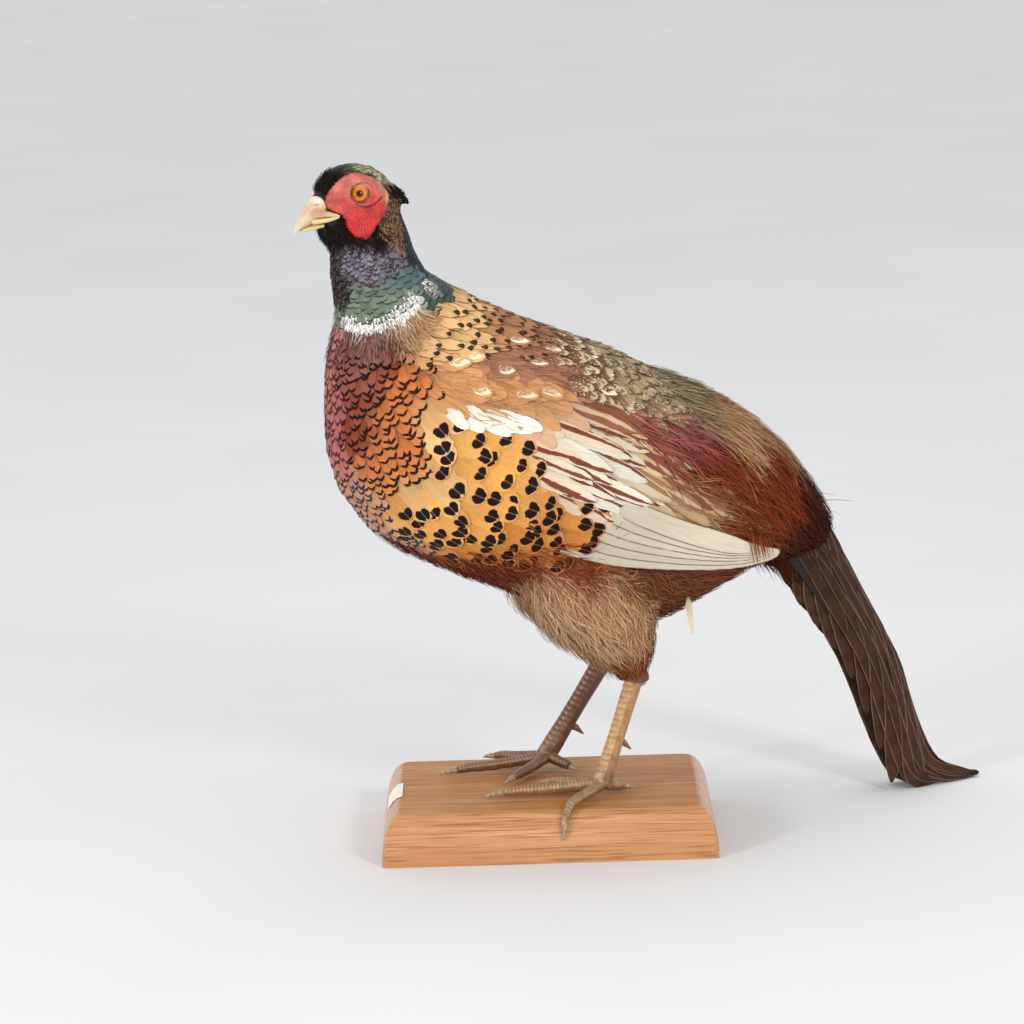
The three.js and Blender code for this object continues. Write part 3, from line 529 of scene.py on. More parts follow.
def raisePapillae(piece):
    # small warts all over the red skin, lower and finer round the eye
    at = coordinates(piece)
    facing = vertexFacing(piece)
    places = birdToHead(toBird(at))
    seeds = at[thinned(at, wattle["papilla"])]
    kd = KDTree(len(seeds))
    for i, seed in enumerate(seeds):
        kd.insert(seed, i)
    kd.balance()
    found = [kd.find(p) for p in at.tolist()]
    nearest = np.array([hit[1] for hit in found])
    near = np.array([hit[2] for hit in found]) / mm
    fromEye = np.hypot(places[:, 0] - eyes["hole"][0], places[:, 2] - eyes["hole"][1])
    calm = np.clip((fromEye - 6.0) / 4, 0.15, 1) * rng.uniform(0.5, 1.2, len(seeds))[nearest]
    calm = calm * np.where(nearLine(places[:, 0], places[:, 2], lowerCrease) < 1.2, 0.5, 1)
    dome = np.clip(1 - (near / (wattle["papilla"] * 0.62)) ** 2, 0, 1)
    moveVertices(piece, at + facing * (dome * calm * wattle["rise"])[:, None] * mm)
    x, z = places[:, 0], places[:, 2]
    upper = np.clip((z - 397) / 7, 0, 1)
    rear = np.clip((x + 4) / 7, 0, 1) * np.clip((z - 392) / 6, 0, 1)
    orbit = np.exp(-((fromEye - 6.0) / 2.2) ** 2)
    pale = np.clip(0.75 * upper + 0.3 * orbit + 0.35 * np.clip((-17 - x) / 6, 0, 1) * np.clip((z - 386) / 4, 0, 1), 0, 1)
    brown = np.clip(0.85 * rear + 0.25 * orbit, 0, 1)
    dark = np.exp(-(nearLine(x, z, lowerCrease) / 0.6) ** 2) + 0.6 * np.exp(-(nearLine(x, z, upperCrease) / 0.5) ** 2)
    rim = np.clip((x - 3.5) / 4, 0, 1) * np.clip(1 - (z - 395) / 8, 0, 1) * np.clip((fromEye - 15.5) / 2, 0, 1)
    red, pink, hide, shadow, buff = (np.array(linear(c)) for c in ("#d21a1b", "#cc6c5e", "#ad7862", "#5a2420", "#dcb692"))
    colour = red + (pink - red) * pale[:, None]
    colour = colour + (hide - colour) * brown[:, None]
    colour = colour + (shadow - colour) * np.clip(dark, 0, 1)[:, None]
    colour = colour + (buff - colour) * rim[:, None]
    putAttribute(piece.data, "ground", "FLOAT_COLOR", colour)
    putAttribute(piece.data, "dome", "FLOAT", dome)


def wattleMaterial():
    # dried papillate skin painted red and varnished; its colour is painted lighter on the warts and darker in the pits
    # between, as painted highlight and shade
    material, tree, shader = newMaterial("painted_wattle", Roughness=0.5, Subsurface_Weight=0.1, Coat_Weight=0.2,
                                         Coat_Roughness=0.25)
    shader.inputs["Subsurface Radius"].default_value = (0.003, 0.0008, 0.0005)
    ground = add(tree, "Attribute", {"attribute_name": "ground"}, out="Color")
    dome = add(tree, "Attribute", {"attribute_name": "dome"}, out="Fac")
    spot = add(tree, "TexCoord", out="Object")
    grit = add(tree, "TexNoise", Vector=spot, Scale=1500.0, Detail=3.0, Roughness=0.7)
    cloud = add(tree, "TexNoise", Vector=spot, Scale=160.0, Detail=3.0)
    # the wart tops are painted lighter and the hollows between them darker, as painted highlight and shade
    shade = add(tree, "MapRange", Value=dome, To_Min=0.66, To_Max=1.15)
    patch = add(tree, "MapRange", Value=cloud, From_Min=0.3, From_Max=0.7, To_Min=0.55, To_Max=1.35)
    level = add(tree, "Math", {"operation": "MULTIPLY"}, i0=shade, i1=patch)
    tone = add(tree, "HueSaturation", Value=level, Color=ground)
    # pale specks on the raised fine grain are painted highlights, and dark specks in its hollows painted shade
    grainHighlight = add(tree, "MapRange", {"interpolation_type": "SMOOTHSTEP"}, Value=grit, From_Min=0.57, From_Max=0.72, To_Max=0.55)
    withPaintedLight = add(tree, "MixRGB", Fac=grainHighlight, Color1=tone, Color2=linear("#e8a99b"))
    pitShade = add(tree, "MapRange", {"interpolation_type": "SMOOTHSTEP"}, Value=grit, From_Min=0.42, From_Max=0.3, To_Max=0.55)
    specked = add(tree, "MixRGB", Fac=pitShade, Color1=withPaintedLight, Color2=linear("#6d1715"))
    tree.links.new(specked, shader.inputs["Base Color"])
    bump = add(tree, "Bump", Strength=0.4, Distance=0.0003, Height=grit)
    tree.links.new(bump, shader.inputs["Normal"])
    return material


redSkin = wattleMaterial()
for side, sign in (("left", -1), ("right", 1)):
    finish(keepBare(makeWattle(f"wattle_skin_{side}", sign)), redSkin, [f"wattle_{side}"])
print("bare skin made")


# ---- glass eyes and their lids

def eyeFrame(sign):
    # the eye's middle and its own axes: along the head, up, and out through the pupil
    centre = np.array((eyes["x"], sign * eyes["y"], eyes["z"]), float)
    ahead, up = math.radians(eyes["lookAhead"]), math.radians(eyes["lookUp"])
    out = unit(np.array((-math.sin(ahead), sign * math.cos(ahead), math.sin(up))))
    along = unit(np.cross(out, (0, 0, 1)) * -sign)
    return centre, np.stack([along, unit(np.cross(along, out) * sign), out])


def makeEye(name, sign):
    bpy.ops.object.select_all(action="DESELECT")
    bpy.ops.mesh.primitive_uv_sphere_add(segments=64, ring_count=40, radius=1, location=(0, 0, 0))
    ball = bpy.context.object
    ball.name = name
    centre, axes = eyeFrame(sign)
    local = coordinates(ball) * (eyes["radius"] - 0.15)
    cornea = np.clip((local[:, 2] / eyes["radius"] - 0.55) / 0.45, 0, 1)
    local[:, 2] += 0.35 * cornea ** 1.5
    putAttribute(ball.data, "inEye", "FLOAT_VECTOR", local)
    moveVertices(ball, toWorld(headToBird(centre + local @ axes)))
    bpy.ops.object.mode_set(mode="EDIT")
    bpy.ops.mesh.select_all(action="SELECT")
    bpy.ops.mesh.normals_make_consistent(inside=False)
    bpy.ops.object.mode_set(mode="OBJECT")
    bpy.ops.object.shade_smooth()
    return ball


def eyeMaterial():
    # blown glass eye, painted behind: amber iris with fine spokes, brown-black pupil, clear polished front
    material, tree, shader = newMaterial("painted_glass_eye", Roughness=0.06, Specular_IOR_Level=0.35, IOR=1.52)
    place = add(tree, "Attribute", {"attribute_name": "inEye"}, out="Vector")
    flat = add(tree, "VectorMath", {"operation": "MULTIPLY"}, i0=place, i1=(1, 1, 0))
    far = add(tree, "VectorMath", {"operation": "LENGTH"}, out="Value", i0=flat)
    ring = add(tree, "ValToRGB", {"stops": [
        (0.0, "#1c0a05"), (0.23, "#2e1107"), (0.32, "#7d3807"), (0.42, "#d27a12"), (0.66, "#e8981f"),
        (0.8, "#c4701a"), (0.9, "#3c1c08")]}, Fac=add(tree, "Math", {"operation": "DIVIDE"}, i0=far, i1=6.0))
    around = add(tree, "VectorMath", {"operation": "NORMALIZE"}, i0=flat)
    spokes = add(tree, "TexNoise", Vector=around, Scale=9.0, Detail=4.0, Roughness=0.7)
    lift = add(tree, "MapRange", Value=spokes, From_Min=0.3, From_Max=0.7, To_Min=0.7, To_Max=1.25)
    tone = add(tree, "HueSaturation", Value=lift, Color=ring)
    tree.links.new(tone, shader.inputs["Base Color"])
    return material


lid = dict(wide=5.25, high=4.75, thick=0.36, steps=72, roundSteps=12)


def makeLid(name, sign):
    bpy.ops.object.select_all(action="DESELECT")
    bpy.ops.mesh.primitive_torus_add(major_segments=lid["steps"], minor_segments=lid["roundSteps"],
                                     major_radius=1, minor_radius=0.1, location=(0, 0, 0))
    rim = bpy.context.object
    rim.name = name
    centre, axes = eyeFrame(sign)
    local = coordinates(rim)
    turn = np.arctan2(local[:, 1], local[:, 0])
    off = (np.hypot(local[:, 0], local[:, 1]) - 1) * 10
    droop = np.where(np.sin(turn) > 0, 0.92, 1.0)
    corner = 1 + 0.14 * np.clip(np.cos(turn + 0.45), 0, 1) ** 6
    thick = lid["thick"] * (1 - 0.35 * np.cos(turn) ** 6)
    a = np.cos(turn) * (lid["wide"] * corner + off * thick)
    b = np.sin(turn) * (lid["high"] * droop + off * thick)
    c = np.sqrt(np.maximum(eyes["radius"] ** 2 - a * a - b * b, 0)) + local[:, 2] * 10 * thick + 0.15
    moveVertices(rim, toWorld(headToBird(centre + np.stack([a, b, c], 1) @ axes)))
    pale = np.clip(0.55 - 0.5 * np.sin(turn - 0.6), 0, 1)[:, None]
    cream, flesh = np.array(linear("#e8d6a8")), np.array(linear("#9a4a40"))
    putAttribute(rim.data, "ground", "FLOAT_COLOR", flesh + (cream - flesh) * pale)
    bpy.ops.object.mode_set(mode="EDIT")
    bpy.ops.mesh.select_all(action="SELECT")
    bpy.ops.mesh.normals_make_consistent(inside=False)
    bpy.ops.object.mode_set(mode="OBJECT")
    bpy.ops.object.shade_smooth()
    return rim


def lidMaterial():
    # dried lid skin, cream and flesh, finely wrinkled
    material, tree, shader = newMaterial("lid_skin", Roughness=0.5, Subsurface_Weight=0.1)
    shader.inputs["Subsurface Radius"].default_value = (0.002, 0.0008, 0.0005)
    ground = add(tree, "Attribute", {"attribute_name": "ground"}, out="Color")
    spot = add(tree, "TexCoord", out="Object")
    fine = add(tree, "TexNoise", Vector=spot, Scale=1800.0, Detail=3.0)
    level = add(tree, "MapRange", Value=fine, To_Min=0.75, To_Max=1.2)
    tone = add(tree, "HueSaturation", Value=level, Color=ground)
    tree.links.new(tone, shader.inputs["Base Color"])
    bump = add(tree, "Bump", Strength=0.4, Distance=0.0002, Height=fine)
    tree.links.new(bump, shader.inputs["Normal"])
    return material


glass, lidSkin = eyeMaterial(), lidMaterial()
for side, sign in (("left", -1), ("right", 1)):
    finish(keepBare(makeEye(f"glass_eye_{side}", sign)), glass, [f"eye_{side}"])
    finish(makeLid(f"eyelid_{side}", sign), lidSkin)
print("eyes made")


# ---- the bill

billShape = dict(voxel=0.42, rounds=4, nostril=(-34.0, 394.2), swell=(-32.6, 396.8), tip=(-47.3, 378.2))
# The corners of the mouth: places in the head's own frame and how thick the horn is there.
gape = {
    "bill_upper": [(-37, 5.2, 388.6, 2.2), (-33, 7.6, 388.8, 2.2), (-29, 10.2, 388.6, 1.7), (-25.5, 12.8, 388.0, 1.1),
                   (-23.2, 14.2, 387.4, 0.5)],
    "bill_lower": [(-37, 4.4, 384.0, 1.5), (-33, 7.0, 384.6, 1.6), (-29, 9.8, 385.2, 1.4), (-25.8, 12.2, 386.2, 1.0),
                   (-23.4, 13.9, 386.8, 0.5)],
}


def taperedTube(name, line, radii, sides=10):
    # a closed round tube through the given places of the world
    line, radii = np.asarray(line, float), np.asarray(radii, float) * mm
    way = unit(np.gradient(line, axis=0))
    across = unit(np.cross(way, (0, 0, 1)))
    high = np.cross(across, way)
    turn = np.arange(sides) / sides * 2 * math.pi
    rings = line[:, None] + radii[:, None, None] * (
        across[:, None] * np.cos(turn)[None, :, None] + high[:, None] * np.sin(turn)[None, :, None])
    faces = [list(range(sides))[::-1], [(len(line) - 1) * sides + i for i in range(sides)]]
    for k in range(len(line) - 1):
        for i in range(sides):
            j = (i + 1) % sides
            faces.append([k * sides + i, k * sides + j, (k + 1) * sides + j, (k + 1) * sides + i])
    mesh = bpy.data.meshes.new(name)
    mesh.from_pydata(rings.reshape(-1, 3), [], faces)
    tube = bpy.data.objects.new(name, mesh)
    bpy.context.scene.collection.objects.link(tube)
    return tube


def makeBill(name, node):
    corners = []
    for sign in (-1, 1):
        line = toWorld(headToBird([(x, sign * y, z) for x, y, z, _ in gape[node]]))
        corners.append(taperedTube("corner", line, [radius for *_, radius in gape[node]]))
    piece = shellOf(name, [node], billShape["voxel"], billShape["rounds"], corners)
    at = coordinates(piece)
    places = birdToHead(toBird(at))
    facing = vertexFacing(piece)
    x, y, z = places.T
    # the swollen flap over each nostril, the slit beneath it, and the growth lines of the horn
    swell = np.exp(-(((x - billShape["swell"][0]) / 2.8) ** 2 + ((z - billShape["swell"][1]) / 2.3) ** 2))
    slit = np.exp(-(((x - billShape["nostril"][0]) / 1.5) ** 2 + ((z - billShape["nostril"][1]) / 0.45) ** 2))
    onSide = np.clip((np.abs(y) - 1.5) / 1.5, 0, 1)
    push = 0.6 * swell * onSide - 0.5 * slit * onSide
    fromTip = np.hypot(x - billShape["tip"][0], z - billShape["tip"][1])
    push += 0.05 * np.sin(fromTip * 2.6)
    moveVertices(piece, at + facing * push[:, None] * mm)
    base, tan, tip, cream, white, dark = (np.array(linear(c)) for c in (
        "#d3bd98", "#bb8d6b", "#d2d5bd", "#d6c083", "#e2d9c7", "#7d5841"))
    along = np.clip(fromTip / 22, 0, 1)[:, None]
    colour = np.repeat(base[None], len(at), 0)
    patch = np.exp(-(((x + 33.5) / 6.5) ** 2 + ((z - 390.2) / 2.4) ** 2))[:, None]
    colour = colour + (tan - colour) * np.clip(patch * 1.1, 0, 1)
    colour = colour + (tip - colour) * np.clip(1 - along * 2.2, 0, 1)
    culmen = np.clip(1 - np.abs(y) / 2.2, 0, 1)[:, None]
    colour = colour + (tip - colour) * culmen * 0.5 * (node == "bill_upper")
    colour = colour + (cream - colour) * (0.85 if node == "bill_lower" else 0)
    colour = colour + (white - colour) * np.clip(swell * 1.5, 0, 1)[:, None] * (node == "bill_upper")
    # the nostril slit is painted dark, as painted shade in its dent
    colour = colour + (dark - colour) * (slit * onSide * 0.85)[:, None] * (node == "bill_upper")
    putAttribute(piece.data, "ground", "FLOAT_COLOR", colour)
    putAttribute(piece.data, "fromTip", "FLOAT", fromTip)
    return piece


def billMaterial():
    # horn, faintly layered, with a waxy surface
    material, tree, shader = newMaterial("bill_horn", Roughness=0.36, IOR=1.54, Subsurface_Weight=0.15)
    shader.inputs["Subsurface Radius"].default_value = (0.003, 0.002, 0.001)
    ground = add(tree, "Attribute", {"attribute_name": "ground"}, out="Color")
    far = add(tree, "Attribute", {"attribute_name": "fromTip"}, out="Fac")
    spot = add(tree, "TexCoord", out="Object")
    cloud = add(tree, "TexNoise", Vector=spot, Scale=240.0, Detail=4.0)
    beat = add(tree, "Math", {"operation": "MULTIPLY_ADD"}, i0=far, i1=7.0, i2=cloud)
    lines = add(tree, "Math", {"operation": "SINE"}, i0=beat)
    level = add(tree, "Math", {"operation": "MULTIPLY_ADD"}, i0=lines, i1=0.03, i2=0.86)
    varied = add(tree, "Math", {"operation": "MULTIPLY_ADD"}, i0=cloud, i1=0.3, i2=level)
    tone = add(tree, "HueSaturation", Value=varied, Color=ground)
    tree.links.new(tone, shader.inputs["Base Color"])
    bump = add(tree, "Bump", Strength=0.25, Distance=0.0003, Height=beat)
    tree.links.new(bump, shader.inputs["Normal"])
    return material


billHorn = billMaterial()
for node in ("bill_upper", "bill_lower"):
    finish(keepBare(makeBill(f"{node}_horn", node)), billHorn, [node])
print("bill made")


# ---- scaled legs and toes, claws and spurs

legs = dict(voxel=0.55, rounds=3, shankScute=3.6, toeScute=2.2, rise=0.34)
legShapes = {
    "left": dict(hock=(25.5, -34, 96), joint=(0.5, -43.6, 41), ground="#b68852", dark="#80582f", pale="#e5cfa3",
                 toes="#94704a"),
    # the right leg, on the far side from the lights, has darker and redder colours than the left, as painted shade
    "right": dict(hock=(31.5, 34, 91), joint=(-4, 34.1, 41), ground="#6c3e27", dark="#452516", pale="#c49b72",
                  toes="#7a573e"),
}
toeNames = ("middle", "inner", "hind", "outer")


def makeLeg(name, side):
    shape = legShapes[side]
    nodes = [f"shank_{side}"] + [f"toe_{toe}_{side}" for toe in toeNames]
    piece = shellOf(name, nodes, legs["voxel"], legs["rounds"])
    at = coordinates(piece)
    places = toBird(at)
    facing = vertexFacing(piece)
    lieOf = turnedBy(facing, -bird["turn"])
    hock, joint = np.array(shape["hock"], float), np.array(shape["joint"], float)
    axis = unit(joint - hock)
    down = (places - hock) @ axis
    length = np.linalg.norm(joint - hock)
    onShank = np.clip((length - 1 - down) / 3, 0, 1)
    fromJoint = np.linalg.norm(places - joint, axis=1)
    forward = unit(np.cross((0, 1, 0), axis))
    forward = forward * (-1 if forward[0] > 0 else 1)
    face = lieOf @ forward
    roundShank = np.arctan2(lieOf[:, 1], -face)
    row = down / legs["shankScute"] + 0.5 * (roundShank > 0)
    toeRow = fromJoint / legs["toeScute"]
    # each scute rises slowly and ends in a lip over the next one
    saw = lambda phase: (phase % 1) ** 0.7 * np.clip((1 - phase % 1) / 0.12, 0, 1)
    front = np.clip((face + 0.1) / 0.3, 0, 1)
    topSide = np.clip((lieOf[:, 2] - 0.05) / 0.3, 0, 1)
    net = saw(down / 1.5 + np.round(roundShank * 2.2) * 0.5)
    shankLift = saw(row) * front + net * 0.55 * (1 - front)
    pads = 0.5 + 0.5 * np.sin(fromJoint / 9.5 * 2 * math.pi)
    toeLift = saw(toeRow) * topSide - 0.9 * pads * np.clip(-lieOf[:, 2], 0, 1)
    lift = (shankLift * onShank + toeLift * (1 - onShank)) * legs["rise"]
    moveVertices(piece, at + facing * lift[:, None] * mm)
    ground, dark, pale, toes = (np.array(linear(shape[k])) for k in ("ground", "dark", "pale", "toes"))
    # colour follows the scutes: their raised lips are painted pale, as painted highlight; the low start of each scute
    # and the toes' undersides are painted dark, partly dark seams and partly painted shade
    edge = np.where(onShank > 0.5, saw(row) * front + net * 0.5 * (1 - front), saw(toeRow) * topSide)[:, None]
    toward = np.clip((places[:, 2] - 38) / 22, 0, 1)[:, None]
    colour = toes + (ground - toes) * toward
    colour = colour + (dark - colour) * np.clip(0.4 - 1.1 * edge, 0, 1)
    colour = colour + (pale - colour) * np.clip(edge * 1.2 - 0.5, 0, 1) * 0.55
    putAttribute(piece.data, "ground", "FLOAT_COLOR", colour)
    return piece


def legMaterial():
    # varnished scutes: dry keratin plates with a broken gloss; the darker colour between them comes from the leg's own
    # colours, partly dark seams and partly painted shade
    material, tree, shader = newMaterial("leg_scutes", Roughness=0.4, IOR=1.54, Coat_Weight=0.25, Coat_Roughness=0.25)
    ground = add(tree, "Attribute", {"attribute_name": "ground"}, out="Color")
    spot = add(tree, "TexCoord", out="Object")
    cloud = add(tree, "TexNoise", Vector=spot, Scale=220.0, Detail=4.0, Roughness=0.6)
    grit = add(tree, "TexNoise", Vector=spot, Scale=1400.0, Detail=2.0)
    level = add(tree, "MapRange", Value=cloud, From_Min=0.3, From_Max=0.7, To_Min=0.62, To_Max=1.2)
    tone = add(tree, "HueSaturation", Value=level, Color=ground)
    tree.links.new(tone, shader.inputs["Base Color"])
    rough = add(tree, "MapRange", Value=cloud, To_Min=0.28, To_Max=0.62)
    tree.links.new(rough, shader.inputs["Roughness"])
    bump = add(tree, "Bump", Strength=0.3, Distance=0.0003, Height=grit)
    tree.links.new(bump, shader.inputs["Normal"])
    return material


def makeClaws(name, side):
    nodes = [f"claw_{toe}_{side}" for toe in toeNames] + [f"spur_{side}"]
    piece = shellOf(name, nodes, 0.35, 3)
    places = toBird(coordinates(piece))
    shape = legShapes[side]
    isSpur = places[:, 2] > 50
    far = np.linalg.norm(places - np.array(shape["joint"]), axis=1)
    band = 0.3 + 0.2 * np.sin(far * 1.9)
    horn, amber, spur = (np.array(linear(c)) for c in ("#8d7252", "#cdb58a", "#8a6450"))
    colour = horn + (amber - horn) * band[:, None]
    colour = np.where(isSpur[:, None], spur, colour)
    putAttribute(piece.data, "ground", "FLOAT_COLOR", colour)
    return piece


def clawMaterial():
    # dark horn, drawn out in layers, worn smooth at the tips
    material, tree, shader = newMaterial("claw_horn", Roughness=0.34, IOR=1.54, Coat_Weight=0.2)
    ground = add(tree, "Attribute", {"attribute_name": "ground"}, out="Color")
    spot = add(tree, "TexCoord", out="Object")
    cloud = add(tree, "TexNoise", Vector=spot, Scale=500.0, Detail=3.0)
    level = add(tree, "MapRange", Value=cloud, From_Min=0.3, From_Max=0.7, To_Min=0.6, To_Max=1.25)
    tone = add(tree, "HueSaturation", Value=level, Color=ground)
    tree.links.new(tone, shader.inputs["Base Color"])
    bump = add(tree, "Bump", Strength=0.25, Distance=0.0003, Height=cloud)
    tree.links.new(bump, shader.inputs["Normal"])
    return material


scutes, clawHorn = legMaterial(), clawMaterial()
for side in sides:
    toes = [f"toe_{toe}_{side}" for toe in toeNames]
    finish(makeLeg(f"leg_{side}", side), scutes, [f"shank_{side}"] + toes)
    claws = [f"claw_{toe}_{side}" for toe in toeNames] + [f"spur_{side}"]
    finish(makeClaws(f"claws_{side}", side), clawHorn, claws)
print("legs made")


# ---- plumage tracts: where each lies (x, |y|, z), its ground colour and its markings' colour

